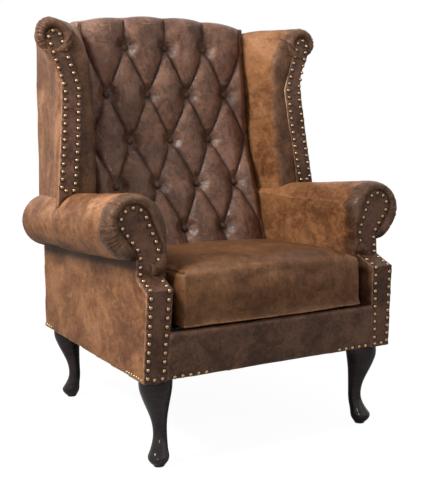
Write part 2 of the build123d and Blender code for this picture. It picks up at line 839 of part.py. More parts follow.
def button_places():
    """Places of the buttons, in five rows that stand staggered."""
    places = []
    for row in range(-2, 3):
        rake = lower_rake if row < 0 else upper_rake if row > 0 else (lower_rake + upper_rake) / 2
        count = 4 if row % 2 else 3
        for number in range(count):
            x = (number - (count - 1) / 2) * button_pitch
            places.append(back_plane(rake).location * Location((x, row * row_pitch, 0)))
    return places


plain_front = back_line(-puff_height, deck_top)
with BuildPart() as inside_back:
    add(across([plain_front[0], plain_front[1], pad_rear[1], pad_rear[0]]))
    add(tufted(lower_rake, 1))
    add(tufted(upper_rake, 2))
    add(
        across(
            [back_line(0.0, deck_top)[2], back_line(0.0, deck_top)[3]]
            + [(rear_y(back_top, cover), back_top), (rear_y(fold_z, cover), fold_z)]
        )
    )
    with BuildPart(mode=Mode.PRIVATE) as behind_cap:
        add(across([pad_rear[2], pad_rear[3], (far, back_top), (far, pad_rear[2][1])]))
        add(under_arch(arch_cap), mode=Mode.INTERSECT)
    add(behind_cap.part, mode=Mode.SUBTRACT)
    Box(2 * back_half_width, far, far, mode=Mode.INTERSECT)
    add(under_arch(0.0), mode=Mode.INTERSECT)
    with Locations(*button_places()):
        Cylinder(
            button_radius + button_clearance,
            2 * puff_height,
            align=(Align.CENTER, Align.CENTER, Align.MIN),
            mode=Mode.SUBTRACT,
        )
save(inside_back.part, "inside_back")

with BuildPart() as back_buttons:
    with Locations(*button_places()):
        Cone(
            button_radius,
            button_radius * button_top_share,
            button_height,
            align=(Align.CENTER, Align.CENTER, Align.MIN),
        )
save(back_buttons.part, "back_buttons")

# Webbing straps across the back boards, under the padding
with BuildPart() as back_webbing:
    for number in range(webbing_count):
        up = (number - (webbing_count - 1) / 2) * webbing_pitch
        plane = back_plane(lower_rake if up < 0 else upper_rake)
        with Locations(plane.location * Location((0, up, -pad_depth))):
            Box(
                base_front_width,
                webbing_width,
                webbing_thickness,
                align=(Align.CENTER, Align.CENTER, Align.MAX),
            )
    add(between_sides(cover), mode=Mode.INTERSECT)
save(back_webbing.part, "back_webbing")

# Outside back: a flat cover over the whole rear
with BuildPart() as outside_back:
    add(across([(rear_y(z, inset), z) for z, inset in (
        (base_bottom, cover), (base_bottom, 0.0), (back_top, 0.0), (back_top, cover))]))
    add(between_sides(0.0), mode=Mode.INTERSECT)
    add(under_arch(0.0), mode=Mode.INTERSECT)
save(outside_back.part, "outside_back")

# Seat deck over the springs
seat_rear_y = back_line(pad_depth + webbing_thickness, deck_top)[0][0]
seat_deck = bar(arm_inner, stump_front_y, seat_rear_y - stump_front_y, deck_bottom, deck_top - deck_bottom)
save(seat_deck, "seat_deck")

# Winding flat springs from the front rail to the rear rail, and the clips that hold their ends
spring_start = stump_front_y + rail_thickness / 2
spring_end = rear_rail_y + rail_thickness / 2
half_waves = round(2 * (spring_end - spring_start) / spring_pitch)
wave_step = (spring_end - spring_start) / half_waves
spring_places = [((number - (spring_count - 1) / 2) * spring_spacing, 0.0) for number in range(spring_count)]
with BuildSketch() as zigzag:
    for number in range(half_waves + 1):
        with Locations((0, spring_start + number * wave_step)):
            Rectangle(spring_width, spring_wire)
    for number in range(half_waves):
        bend_x = (number % 2 - 1 / 2) * (spring_width - spring_wire)
        with Locations((bend_x, spring_start + (number + 1 / 2) * wave_step)):
            Rectangle(spring_wire, wave_step)
with BuildPart() as seat_springs:
    with BuildSketch(Plane.XY.offset(rail_top)):
        with Locations(*spring_places):
            add(zigzag.sketch)
    extrude(amount=spring_wire)
save(seat_springs.part, "seat_springs")

with BuildPart() as spring_clips:
    clip_spots = [(x, y, rail_top) for x, _ in spring_places for y in (spring_start, spring_end)]
    clip_height = spring_wire + clip_wall
    low = (Align.CENTER, Align.CENTER, Align.MIN)
    with Locations(*clip_spots):
        Box(clip_width, clip_length, clip_height, align=low)
    with Locations(*clip_spots):
        Box(clip_width - 2 * clip_wall, clip_length, spring_wire, align=low, mode=Mode.SUBTRACT)
save(spring_clips.part, "spring_clips")

# Loose seat cushion: crowned top, bowed front, sides drawn in between the corners, rounded edges
cushion_half = arm_inner - cushion_clearance
cushion_bottom = border_top + cushion_lift_gap
cushion_front_y = front_y - cushion_front
cushion_rear_y = plain_front[0][0] - cushion_rear_gap
cushion_top = cushion_edge_height + cushion_crown
cushion_middle_y = (cushion_front_y + cushion_rear_y) / 2
cushion_reach = hypot(cushion_half, cushion_rear_y - cushion_middle_y)
crown_radius = (cushion_reach**2 + cushion_crown**2) / (2 * cushion_crown)
with BuildPart() as seat_cushion:
    with BuildSketch(Plane.XY.offset(cushion_bottom)) as cushion_plan:
        with BuildLine():
            front_left = (-cushion_half, cushion_front_y)
            rear_left = (-cushion_half, cushion_rear_y)
            rear_right = (cushion_half, cushion_rear_y)
            front_right = (cushion_half, cushion_front_y)
            SagittaArc(front_left, rear_left, -cushion_draw_in)
            SagittaArc(rear_left, rear_right, -cushion_draw_in)
            SagittaArc(rear_right, front_right, -cushion_draw_in)
            SagittaArc(front_right, front_left, cushion_front_bow)
        make_face()
        fillet(cushion_plan.vertices(), cushion_corner_round)
    extrude(amount=cushion_top - cushion_bottom)
    with Locations(Location((0, cushion_middle_y, cushion_top - crown_radius), (90, 0, 0))):
        Sphere(crown_radius, mode=Mode.INTERSECT)
    fillet(seat_cushion.faces().sort_by(Axis.Z)[-1].edges(), cushion_round)
    fillet(seat_cushion.faces().sort_by(Axis.Z)[0].edges(), cushion_under_round)
save(seat_cushion.part, "seat_cushion")

# Cabriole legs, screwed on from below, with a glide under each foot
leg_height = frame_bottom - glide_thickness
diagonal = cos(radians(45))
feet = []
bolts = []
glides = []
for end, place, turn_y in (("front", front_leg, -1), ("rear", rear_leg, 1)):
    for side, turn_x in (("left", -1), ("right", 1)):
        x, y = turn_x * place[0], place[1]
        with BuildPart() as leg:
            for height_share, width_share, stand_share in leg_shares:
                outward = stand_share * leg_top_width * diagonal
                with BuildSketch(Plane.XY.offset(glide_thickness + height_share * leg_height)):
                    with Locations((x + turn_x * outward, y + turn_y * outward)):
                        Circle(width_share * leg_top_width / 2)
            loft(ruled=True)
            with Locations((x, y, frame_bottom - bolt_in_leg)):
                Cylinder(
                    bolt_radius,
                    bolt_length,
                    align=(Align.CENTER, Align.CENTER, Align.MIN),
                    mode=Mode.SUBTRACT,
                )
        save(leg.part, f"{end}_{side}_leg")
        sole = leg_shares[-1][2] * leg_top_width * diagonal
        feet.append((x, y))
        glides.append((x + turn_x * sole, y + turn_y * sole, 0.0))
        bolts.append((x, y, frame_bottom - bolt_in_leg))

with BuildPart() as leg_bolts:
    with Locations(*bolts):
        Cylinder(bolt_radius, bolt_length, align=(Align.CENTER, Align.CENTER, Align.MIN))
save(leg_bolts.part, "leg_bolts")

with BuildPart() as foot_glides:
    with Locations(*glides):
        Cylinder(glide_radius, glide_thickness, align=(Align.CENTER, Align.CENTER, Align.MIN))
save(foot_glides.part, "foot_glides")

# Dust cover under the frame, cut out round the legs
dust_front = (side_x(front_y, frame_bottom, dust_cover_margin), front_y + dust_cover_margin)
dust_rear = (side_x(rear_rail_y, frame_bottom, dust_cover_margin), rear_y(frame_bottom, dust_cover_margin))
with BuildPart() as dust_cover:
    with BuildSketch(Plane.XY.offset(frame_bottom - dust_cover_thickness)):
        with BuildLine():
            Polyline(
                (-dust_front[0], dust_front[1]),
                dust_front,
                dust_rear,
                (-dust_rear[0], dust_rear[1]),
                close=True,
            )
        make_face()
        notch = leg_top_width + 2 * dust_cover_thickness
        with Locations(*feet):
            Rectangle(notch, notch, mode=Mode.SUBTRACT)
    extrude(amount=dust_cover_thickness)
save(dust_cover.part, "dust_cover")

# Nail heads
with BuildPart() as nail:
    with BuildSketch():
        RegularPolygon(nail_radius, nail_sides)
    extrude(amount=nail_height, taper=nail_taper)


def nail_row(places):
    """Nail heads at places with the direction they face."""
    planes = [Plane(origin=place, z_dir=direction) for place, direction in places]
    return [nail.part.moved(plane.location) for plane in planes]


def spaced(places, pitch):
    """Places at an even pitch, picked from a closed line of close places."""
    closed = places + places[:1]
    lengths = [0.0]
    for start, end in zip(closed, closed[1:]):
        lengths.append(lengths[-1] + (end - start).length)
    count = round(lengths[-1] / pitch)
    wanted = [lengths[-1] * number / count for number in range(count)]
    return [places[next(i for i, length in enumerate(lengths) if length >= reach)] for reach in wanted]


def loop_places(outline):
    """Close places all round an outline, inside its edge by the inset of the nails."""
    edge = offset(outline, amount=-nail_inset).face().outer_wire()
    return [edge.position_at(step / walk_steps) for step in range(walk_steps)]


def front_place(x, z):
    """Place on the arm's front at a height, and the direction that its surface faces."""
    line = front_line()
    low, high = [(a, b) for a, b in zip(line, line[1:]) if z <= b[1]][0]
    direction = Vector(0, low[1] - high[1], high[0] - low[0]).normalized()
    return Vector(x, along(line, z), z), direction


arm_loop = [front_place(spot.X, spot.Y)[0] for spot in loop_places(arm_front(base_bottom, facing_foot_inner))]
arm_spots = []
for spot in spaced(arm_loop, nail_pitch):
    near_bend = abs(spot.Z - ramp_top) < nail_radius
    arm_spots.append(front_place(spot.X, ramp_top + nail_radius if near_bend else spot.Z))
save_pair(Compound(children=nail_row(arm_spots)), "arm_nails")

wing_outline = wing_front.to_local_coords(wing_strip(wing_foot_z - nail_inset))
wing_loop = spaced(loop_places(wing_outline), nail_pitch)
wing_spots = [(wing_front.from_local_coords(spot), wing_front.z_dir) for spot in wing_loop]
save_pair(Compound(children=nail_row(wing_spots)), "wing_nails")

nail_z = base_bottom + base_nail_height
border_rows = [facing_foot_inner - (number + 1) * nail_pitch for number in range(border_nail_count)]
base_spots = [front_place(x, nail_z) for x in border_rows]
side_rows = [front_y + (number + 1) * side_nail_pitch for number in range(side_nail_count)]
side_rows += [rear_y(nail_z, nail_inset) - number * side_nail_pitch for number in range(rear_nail_count)]
base_spots += [(Vector(side_x(y, nail_z), y, nail_z), side_plane().z_dir) for y in side_rows]
right_nails = nail_row(base_spots)
left_nails = [mirror(head, about=Plane.YZ) for head in right_nails]
save(Compound(children=right_nails + left_nails), "base_nails")
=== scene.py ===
import json
from math import atan2, cos, hypot, pi, radians, sin, sqrt, tan

import bmesh
import bpy
import numpy as np
from mathutils import Matrix, Vector, noise
from mathutils.kdtree import KDTree


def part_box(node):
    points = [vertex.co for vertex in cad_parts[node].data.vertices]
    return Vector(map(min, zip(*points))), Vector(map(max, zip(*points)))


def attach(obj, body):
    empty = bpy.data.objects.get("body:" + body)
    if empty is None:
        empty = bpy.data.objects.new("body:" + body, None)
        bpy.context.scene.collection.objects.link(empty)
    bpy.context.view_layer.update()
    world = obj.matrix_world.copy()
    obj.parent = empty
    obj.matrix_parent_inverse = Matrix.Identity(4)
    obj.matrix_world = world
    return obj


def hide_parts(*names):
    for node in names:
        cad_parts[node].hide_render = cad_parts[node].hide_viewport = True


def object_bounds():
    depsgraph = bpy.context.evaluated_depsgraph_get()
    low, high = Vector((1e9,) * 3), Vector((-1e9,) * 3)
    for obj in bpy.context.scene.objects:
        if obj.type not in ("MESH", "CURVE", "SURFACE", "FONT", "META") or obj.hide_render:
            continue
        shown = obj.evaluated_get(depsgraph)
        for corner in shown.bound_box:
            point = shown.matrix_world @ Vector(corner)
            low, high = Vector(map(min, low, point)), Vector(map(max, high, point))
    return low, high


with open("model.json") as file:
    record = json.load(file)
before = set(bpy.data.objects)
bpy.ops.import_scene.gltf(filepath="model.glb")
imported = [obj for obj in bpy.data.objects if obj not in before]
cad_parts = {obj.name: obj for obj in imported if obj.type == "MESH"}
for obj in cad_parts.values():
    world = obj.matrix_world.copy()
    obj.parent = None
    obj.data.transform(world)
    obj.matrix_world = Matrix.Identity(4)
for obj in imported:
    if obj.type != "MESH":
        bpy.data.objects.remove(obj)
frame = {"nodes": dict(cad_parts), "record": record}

bl_info = {
    "name": "Buttoned Wing Chair",
    "version": (1, 0, 0),
    "blender": (4, 5, 0),
    "location": "3D View > Sidebar > Wing Chair",
    "description": "Upholstery, nails, finishes and stage for a deep-buttoned leather wing chair",
    "category": "Object",
}

mm = 0.001
chair_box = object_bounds()
finishes = {}
CHAIR = "chair"
CUSHION = "cushion"

# Side view of the padded back: two leaning planes that meet at the third row of buttons
fold_y = 160 * mm
fold_z = 727 * mm
lower_rake = radians(18)
upper_rake = radians(3)
row_pitch = 127 * mm
button_pitch = 120 * mm

# Front view of the rolled arm and of its nailed front
arm_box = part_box("right_arm_pad")
roll_radius = (arm_box[1].x - arm_box[0].x + 3 * mm) / 2
roll_x = arm_box[1].x - roll_radius
roll_z = arm_box[1].z - roll_radius
arm_fall = 23 / 750
crease_z = 467 * mm
side_taper = (665 - 624) / 2 / 750
scroll_centre = Vector((327 * mm, 551 * mm))
scroll_radius = 38 * mm
neck_centre = Vector((293.5 * mm, 489 * mm))
neck_radius = 29.3 * mm
panel_depth = 5 * mm

# Front view of the wing, on its leaning front face
wing_foot_y = 7 * mm
wing_foot_z = 609 * mm
wing_lean = tan(radians(3))
wing_round = 13 * mm
wing_scroll = Vector((368 * mm, 993 * mm))
wing_scroll_radius = 42 * mm
wing_strip_centre = Vector((361 * mm, 983 * mm))
wing_seam_y = 100 * mm
wing_seam_slope = (160 - 100) / (1070 - 609)
wing_seam_share = 0.35
wing_steps = (12, 60, 16, 16, 24, 40)
wing_scroll_steps = 44
shoulder_seam = (Vector((332, 968)) * mm, Vector((304, 1002)) * mm)

# Cabriole leg: share of its height, share of its top width, share of the width it stands outward
leg_width = 76 * mm
leg_rings = 64
leg_sides = 40
front_leg = (282.5 * mm, -322 * mm)
rear_leg = (262 * mm, 328 * mm)
leg_shares = (
    (1.0, 1.0, 0.0),
    (0.93, 1.0, 0.025),
    (0.86, 0.965, 0.03),
    (0.78, 0.87, 0.005),
    (0.69, 0.74, -0.04),
    (0.60, 0.61, -0.10),
    (0.51, 0.50, -0.155),
    (0.42, 0.435, -0.19),
    (0.33, 0.42, -0.20),
    (0.25, 0.455, -0.165),
    (0.17, 0.535, -0.09),
    (0.10, 0.64, -0.02),
    (0.06, 0.60, -0.015),
    (0.025, 0.48, -0.02),
    (0.0, 0.36, -0.04),
)


class WingChairTones(bpy.types.PropertyGroup):
    """Colours of the leathers, metal and lacquer."""
    suede_light: bpy.props.FloatVectorProperty(
        name="Suede light", description="Rubbed patches of the outside leather",
        subtype="COLOR", min=0, max=1, default=(0.335, 0.145, 0.056))
    suede_dark: bpy.props.FloatVectorProperty(
        name="Suede dark", description="Darker patches of the outside leather",
        subtype="COLOR", min=0, max=1, default=(0.108, 0.037, 0.012))
    smooth_light: bpy.props.FloatVectorProperty(
        name="Smooth light", description="Dusty bloom on the smoother leather",
        subtype="COLOR", min=0, max=1, default=(0.225, 0.106, 0.063))
    smooth_dark: bpy.props.FloatVectorProperty(
        name="Smooth dark", description="Deep tone of the smoother leather",
        subtype="COLOR", min=0, max=1, default=(0.075, 0.031, 0.017))
    front_light: bpy.props.FloatVectorProperty(
        name="Front light", description="Rubbed patches of the nailed panels and the panel under the cushion",
        subtype="COLOR", min=0, max=1, default=(0.15, 0.070, 0.040))
    front_dark: bpy.props.FloatVectorProperty(
        name="Front dark", description="Deep tone of the nailed panels and the panel under the cushion",
        subtype="COLOR", min=0, max=1, default=(0.042, 0.017, 0.009))
    brass: bpy.props.FloatVectorProperty(
        name="Brass", description="Crowns of the nail heads",
        subtype="COLOR", min=0, max=1, default=(0.40, 0.255, 0.135))
    lacquer: bpy.props.FloatVectorProperty(
        name="Lacquer", description="Glossy finish of the legs",
        subtype="COLOR", min=0, max=1, default=(0.012, 0.008, 0.007))


class WingChairPadding(bpy.types.PropertyGroup):
    """Sizes of the padding and its folds."""
    puff: bpy.props.FloatProperty(
        name="Puff", description="How far the tufts swell over the buttons",
        unit="LENGTH", min=0, default=0.027)
    button_radius: bpy.props.FloatProperty(
        name="Button radius", description="Covered buttons of the back",
        unit="LENGTH", min=0, default=0.010)
    cushion_swell: bpy.props.FloatProperty(
        name="Cushion swell", description="Most that a place on the seat cushion moves when it is stuffed",
        unit="LENGTH", min=0, default=0.010)
    ring: bpy.props.FloatProperty(
        name="Ring", description="How far the gathered leather stands round the arm's nailed front",
        unit="LENGTH", min=0, default=0.011)
    pleat: bpy.props.FloatProperty(
        name="Pleat", description="Depth of the gathers round the scrolls",
        unit="LENGTH", min=0, default=0.0028)
    skin: bpy.props.FloatProperty(
        name="Skin", description="Size of the small faces that stuffed pieces are made of",
        unit="LENGTH", min=0.002, default=0.0052)


class WingChairStage(bpy.types.PropertyGroup):
    """The camera and lamps."""
    camera_place: bpy.props.FloatVectorProperty(
        name="Camera place", description="Where the camera stands",
        subtype="TRANSLATION", unit="LENGTH", default=(-1.046, -2.028, 0.702))
    camera_turn: bpy.props.FloatProperty(
        name="Camera turn", description="Turn towards the chair's right",
        subtype="ANGLE", default=radians(28.23))
    camera_dip: bpy.props.FloatProperty(
        name="Camera dip", description="How far it looks down", subtype="ANGLE", default=radians(6.05))
    camera_roll: bpy.props.FloatProperty(
        name="Camera roll", description="Tilt of the picture", subtype="ANGLE", default=radians(1.6))
    camera_lens: bpy.props.FloatProperty(
        name="Lens", description="Focal length", unit="CAMERA", default=64.7)


def bumped(low, high, value):
    """Goes smoothly from 0 to 1 as the value goes from low to high."""
    share = min(1.0, max(0.0, (value - low) / (high - low)))
    return share * share * (3 - 2 * share)


def uneven(place, size, seed=0.0):
    """Soft noise from about -1 to 1, with humps of a size."""
    return noise.noise(Vector(place) / size + Vector((seed, seed, seed)))


def patches(place, size, low=-0.3, high=0.4):
    """Soft patches from 0 to 1, of about a size."""
    return bumped(low, high, uneven(place, size, 1))


def ripple(place, *waves):
    """Height of soft waves at a place. Each has its height and width in millimetres, and its seed."""
    return sum(height * mm * uneven(place, width * mm, seed) for height, width, seed in waves)


def cad_copy(*nodes):
    """The meshes of exact nodes, with their loose triangles joined."""
    bm = bmesh.new()
    for node in nodes:
        bm.from_mesh(frame["nodes"][node].data)
    bmesh.ops.remove_doubles(bm, verts=bm.verts, dist=0.02 * mm)
    return bm


def as_object(bm, name):
    """A bmesh as an object in the scene."""
    mesh = bpy.data.meshes.new(name)
    bm.to_mesh(mesh)
    bm.free()
    piece = bpy.data.objects.new(name, mesh)
    bpy.context.scene.collection.objects.link(piece)
    return piece


def evaluated(piece):
    """What a piece's modifiers make of it, as a bmesh. The piece is removed."""
    seen = piece.evaluated_get(bpy.context.evaluated_depsgraph_get())
    mesh = bpy.data.meshes.new_from_object(seen)
    bm = bmesh.new()
    bm.from_mesh(mesh)
    bpy.data.objects.remove(piece)
    bpy.data.meshes.remove(mesh)
    return bm


def skinned(bm, size):
    """The same shape as one closed skin of small even faces."""
    piece = as_object(bm, "skin")
    remesh = piece.modifiers.new("skin", "REMESH")
    remesh.mode = "VOXEL"
    remesh.voxel_size = size
    return evaluated(piece)


def softened(bm, rounds):
    """Rounds a skin's edges a little, again and again."""
    for _ in range(rounds):
        bmesh.ops.smooth_vert(
            bm, verts=bm.verts, factor=0.5, use_axis_x=True, use_axis_y=True, use_axis_z=True)
    return bm


def soft_copy(nodes, size, rounds):
    """A closed soft skin of exact nodes."""
    return softened(skinned(cad_copy(*nodes), size), rounds)


def finer(bm):
    """One smooth subdivision."""
    piece = as_object(bm, "finer")
    subdivision = piece.modifiers.new("finer", "SUBSURF")
    subdivision.levels = 1
    subdivision.render_levels = 1
    return evaluated(piece)


def spread(mesh, values, passes):
    """Values on a mesh's points, averaged with their neighbours' again and again."""
    count = len(mesh.vertices)
    edges = np.empty(len(mesh.edges) * 2, np.int64)
    mesh.edges.foreach_get("vertices", edges)
    first, second = edges.reshape(-1, 2).T
    near = np.maximum(np.bincount(edges, minlength=count), 1)
    for _ in range(passes):
        sums = [np.bincount(first, column[second], count) + np.bincount(second, column[first], count)
                for column in values.T]
        values = np.stack(sums, 1) / near[:, None]
    return values


def stuffed(bm, limit, free):
    """Swells a skin with inner pressure. No place moves further than the limit times what free() gives."""
    scene = bpy.context.scene
    piece = as_object(bm, "stuffing")
    rest = [vertex.co.copy() for vertex in piece.data.vertices]
    skin = piece.data.copy()
    cloth = piece.modifiers.new("stuffing", "CLOTH")
    cloth.settings.quality = 5
    cloth.settings.use_pressure = True
    cloth.settings.uniform_pressure_force = 4
    cloth.settings.effector_weights.gravity = 0
    for step in range(1, 21):
        scene.frame_set(step)
        bpy.context.evaluated_depsgraph_get()
    made = evaluated(piece)
    scene.frame_set(1)
    moves = spread(skin, np.array([vertex.co - start for vertex, start in zip(made.verts, rest)]), passes=12)
    bpy.data.meshes.remove(skin)
    for vertex, start, move in zip(made.verts, rest, moves):
        move = Vector(move)
        if move.length > limit:
            move *= limit / move.length
        vertex.co = start + move * free(start)
    return made


def layers(bm, *names):
    """Layers for values on the points of a shape."""
    return [bm.verts.layers.float.new(name) for name in names]


def per_point(mesh, kind):
    """One kind of vector on a mesh's points, as rows of three."""
    values = np.empty(len(mesh.vertices) * 3)
    mesh.vertices.foreach_get(kind, values)
    return values.reshape(-1, 3)


def relief(mesh, passes):
    """Writes on each point how far it stands over its surroundings, in millimetres."""
    places = per_point(mesh, "co")
    height = ((places - spread(mesh, places, passes)) * per_point(mesh, "normal")).sum(1) / mm
    mesh.attributes.new("relief", "FLOAT", "POINT").data.foreach_set("value", height.astype(np.float32))


def dressed(bm, name, nodes, material, slot=None, fill=None, body=CHAIR, passes=4):
    """Finishes a piece: outward faces, smooth shading, its material and its body, and hides the nodes it
    stands for.
    """
    bmesh.ops.recalc_face_normals(bm, faces=bm.faces)
    for face in bm.faces:
        face.smooth = True
    piece = as_object(bm, name)
    relief(piece.data, passes)
    piece.data.materials.append(finish(material))
    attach(piece, body)
    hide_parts(*nodes)


def mirrored(bm):
    """A copy for the chair's left side."""
    copy = bm.copy()
    bmesh.ops.transform(copy, matrix=Matrix.Scale(-1, 4, (1, 0, 0)), verts=copy.verts)
    bmesh.ops.reverse_faces(copy, faces=copy.faces)
    return copy


def pair(bm, name, node, material, **words):
    """The right piece and its mirror image, each standing for its own node."""
    for side, mesh in (("left", mirrored(bm)), ("right", bm)):
        dressed(mesh, f"{side}_{name}", [f"{side}_{node}"], material, **words)


def closed(bm):
    """Fills the open ends of a shape."""
    bmesh.ops.holes_fill(bm, edges=[edge for edge in bm.edges if edge.is_boundary])


def merged(bm):
    """Joins points that lie on each other."""
    bmesh.ops.remove_doubles(bm, verts=bm.verts, dist=0.01 * mm)


def lathed(profile, steps):
    """A round shape: points of radius and height, spun round the Z axis."""
    bm = bmesh.new()
    points = [bm.verts.new((radius, 0, height)) for radius, height in profile]
    for start, end in zip(points, points[1:]):
        bm.edges.new((start, end))
    bmesh.ops.spin(bm, geom=bm.verts[:] + bm.edges[:], cent=(0, 0, 0), axis=(0, 0, 1),
                   angle=2 * pi, steps=steps, use_merge=True)
    merged(bm)
    return bm


def stood(bm, place, up):
    """Moves an upright shape from the origin to a place, and turns its top to a direction."""
    turned = up.to_track_quat("Z", "X").to_matrix().to_4x4()
    bmesh.ops.transform(bm, matrix=Matrix.Translation(place) @ turned, verts=bm.verts)


def take_in(bm, one):
    """Adds one more shape to a shape."""
    mesh = bpy.data.meshes.new("one")
    one.to_mesh(mesh)
    one.free()
    bm.from_mesh(mesh)
    bpy.data.meshes.remove(mesh)


# Node groups

def feed(tree, socket, value):
    """Links a value to a socket, or sets it there."""
    if isinstance(value, bpy.types.NodeSocket):
        tree.links.new(value, socket)
    else:
        socket.default_value = value


def add_node(tree, kind, inputs=(), **settings):
    """A node with some settings and some values or links on its inputs."""
    made = tree.nodes.new(kind)
    for name, value in settings.items():
        setattr(made, name, value)
    for name, value in dict(inputs).items():
        feed(tree, made.inputs[name], value)
    return made


def new_group(name, inputs, outputs):
    """A node group with named sockets. Returns the group and its input and output nodes."""
    group = bpy.data.node_groups.new(name, "ShaderNodeTree")
    for label, kind, value in inputs:
        socket = group.interface.new_socket(name=label, in_out="INPUT", socket_type=f"NodeSocket{kind}")
        if value is not None:
            socket.default_value = value
    for label, kind in outputs:
        group.interface.new_socket(name=label, in_out="OUTPUT", socket_type=f"NodeSocket{kind}")
    return group, group.nodes.new("NodeGroupInput"), group.nodes.new("NodeGroupOutput")


def scaled(tree, place, scale):
    """A place on the object, stretched along its axes."""
    return add_node(tree, "ShaderNodeMapping", {"Vector": place, "Scale": scale}).outputs[0]


def cloudy(tree, place, scale, detail=4.0, roughness=0.6, distortion=0.0):
    """Values of a soft noise."""
    return add_node(tree, "ShaderNodeTexNoise", {
        "Vector": place, "Scale": scale, "Detail": detail, "Roughness": roughness, "Distortion": distortion,
    }).outputs["Fac"]


def stepped(tree, value, low, high, start=0.0, end=1.0):
    """Maps a value from one range smoothly to another."""
    return add_node(tree, "ShaderNodeMapRange", {
        "Value": value, "From Min": low, "From Max": high, "To Min": start, "To Max": end,
    }, interpolation_type="SMOOTHSTEP").outputs["Result"]


def combined(tree, operation, first, second=0.0):
    """Arithmetic on two values."""
    return add_node(tree, "ShaderNodeMath", {0: first, 1: second}, operation=operation).outputs[0]


def plus(tree, first, second):
    """The sum of two values."""
    return combined(tree, "ADD", first, second)


def minus(tree, first, second):
    """What is left of a value."""
    return combined(tree, "SUBTRACT", first, second)


def times(tree, first, second):
    """The product of two values."""
    return combined(tree, "MULTIPLY", first, second)


def off_middle(tree, value):
    """How far a value is from a half."""
    return combined(tree, "ABSOLUTE", minus(tree, value, 0.5))


def mixed(tree, share, first, second):
    """A colour between two colours."""
    return add_node(tree, "ShaderNodeMix", {0: share, 6: first, 7: second}, data_type="RGBA").outputs[2]


def toned(tree, color, saturation, value):
    """A colour with another saturation and brightness."""
    return add_node(tree, "ShaderNodeHueSaturation", {
        "Saturation": saturation, "Value": value, "Color": color}).outputs[0]


def leather_group():
    """Patchy vintage leather: pale and dark clouds, edge wear, grain and creases, painted shade in hollows,
    folds, seams and round nails, a darker handled tone with painted shade on fronts, and dusty pale patches
    with painted highlights.
    """
    group, given, result = new_group("vintage_leather", [
        ("Place", "Vector", None),
        ("Relief", "Float", 0.0),
        ("Grime_and_shade", "Float", 0.0),
        ("Handling_and_shade", "Float", 0.0),
        ("Dust", "Float", 0.0),
        ("Light", "Color", (0.4, 0.3, 0.2, 1)),
        ("Dark", "Color", (0.2, 0.1, 0.05, 1)),
        ("Patch", "Float", 11.0),
        ("Contrast", "Float", 1.0),
        ("Crease", "Float", 1.0),
        ("Shine", "Float", 0.5),
    ], [("Color", "Color"), ("Roughness", "Float"), ("Height", "Float")])
    look = given.outputs
    upright = scaled(group, look["Place"], (1.0, 0.6, 0.9))
    clouds = cloudy(group, upright, look["Patch"], detail=5.0, roughness=0.62, distortion=0.5)
    flecks = cloudy(group, upright, 62.0, detail=8.0, roughness=0.78, distortion=0.8)
    specks = cloudy(group, look["Place"], 280.0, detail=3.0, roughness=0.7)
    scratches = cloudy(group, upright, 17.0, detail=7.0, roughness=0.72, distortion=1.4)
    creases = cloudy(group, upright, 26.0, detail=7.0, roughness=0.72, distortion=1.6)
    share = plus(group, times(group, clouds, 0.38), times(group, flecks, 0.47))
    share = plus(group, share, times(group, specks, 0.15))
    share = times(group, minus(group, share, 0.5), look["Contrast"])
    share = stepped(group, share, -0.12, 0.12)

    wear_and_lighting = stepped(group, look["Relief"], 0.25, 1.8)
    wear_and_lighting = times(group, wear_and_lighting, stepped(group, flecks, 0.35, 0.62, 0.25, 1.0))
    # Paler places: edge wear, dust and rubbing, and painted highlights on tops and crests.
    rub_and_highlight = times(group, look["Dust"], stepped(group, share, 0.25, 0.85, 0.35, 1.0))
    wear_and_lighting = combined(group, "MAXIMUM", wear_and_lighting, rub_and_highlight)
    # Painted shade: low places of the relief and the marked creases, seams, pleats and nail rings take the
    # deep colour, with some grime.
    hollow_shade = combined(group, "MAXIMUM", stepped(group, look["Relief"], -0.2, -2.0), look["Grime_and_shade"])
    scuff = stepped(group, off_middle(group, scratches), 0.014, 0.0)
    scuff = times(group, scuff, stepped(group, clouds, 0.47, 0.60))
    pale = toned(group, look["Light"], 0.90, 1.85)
    deep = toned(group, look["Dark"], 1.1, 0.22)
    tone = mixed(group, share, look["Dark"], look["Light"])
    tone = mixed(group, times(group, scuff, 0.45), tone, pale)
    tone = mixed(group, times(group, wear_and_lighting, 0.7), tone, pale)
    # Handled fronts go darker: partly handled leather, partly painted shade on front-facing rolls.
    tone = mixed(group, look["Handling_and_shade"], tone, toned(group, tone, 0.92, 0.33))
    tone = mixed(group, times(group, hollow_shade, 0.92), tone, deep)
    tone = mixed(group, stepped(group, specks, 0.56, 0.72, 0.0, 0.30), tone, deep)
    group.links.new(tone, result.inputs["Color"])

    rough = plus(group, look["Shine"], times(group, flecks, 0.22))
    rough = minus(group, rough, times(group, wear_and_lighting, 0.12))
    rough = minus(group, rough, stepped(group, clouds, 0.50, 0.66, 0.0, 0.10))
    rough = minus(group, rough, times(group, look["Handling_and_shade"], 0.26))
    group.links.new(rough, result.inputs["Roughness"])

    pebbles = add_node(group, "ShaderNodeTexVoronoi", {
        "Vector": look["Place"], "Scale": 620.0}, feature="SMOOTH_F1").outputs["Distance"]
    ridges = stepped(group, off_middle(group, creases), 0.0, 0.05)
    height = times(group, minus(group, 1.0, pebbles), 0.12)
    height = plus(group, height, times(group, ridges, times(group, look["Crease"], 0.4)))
    height = plus(group, height, times(group, specks, 0.25))
    group.links.new(height, result.inputs["Height"])


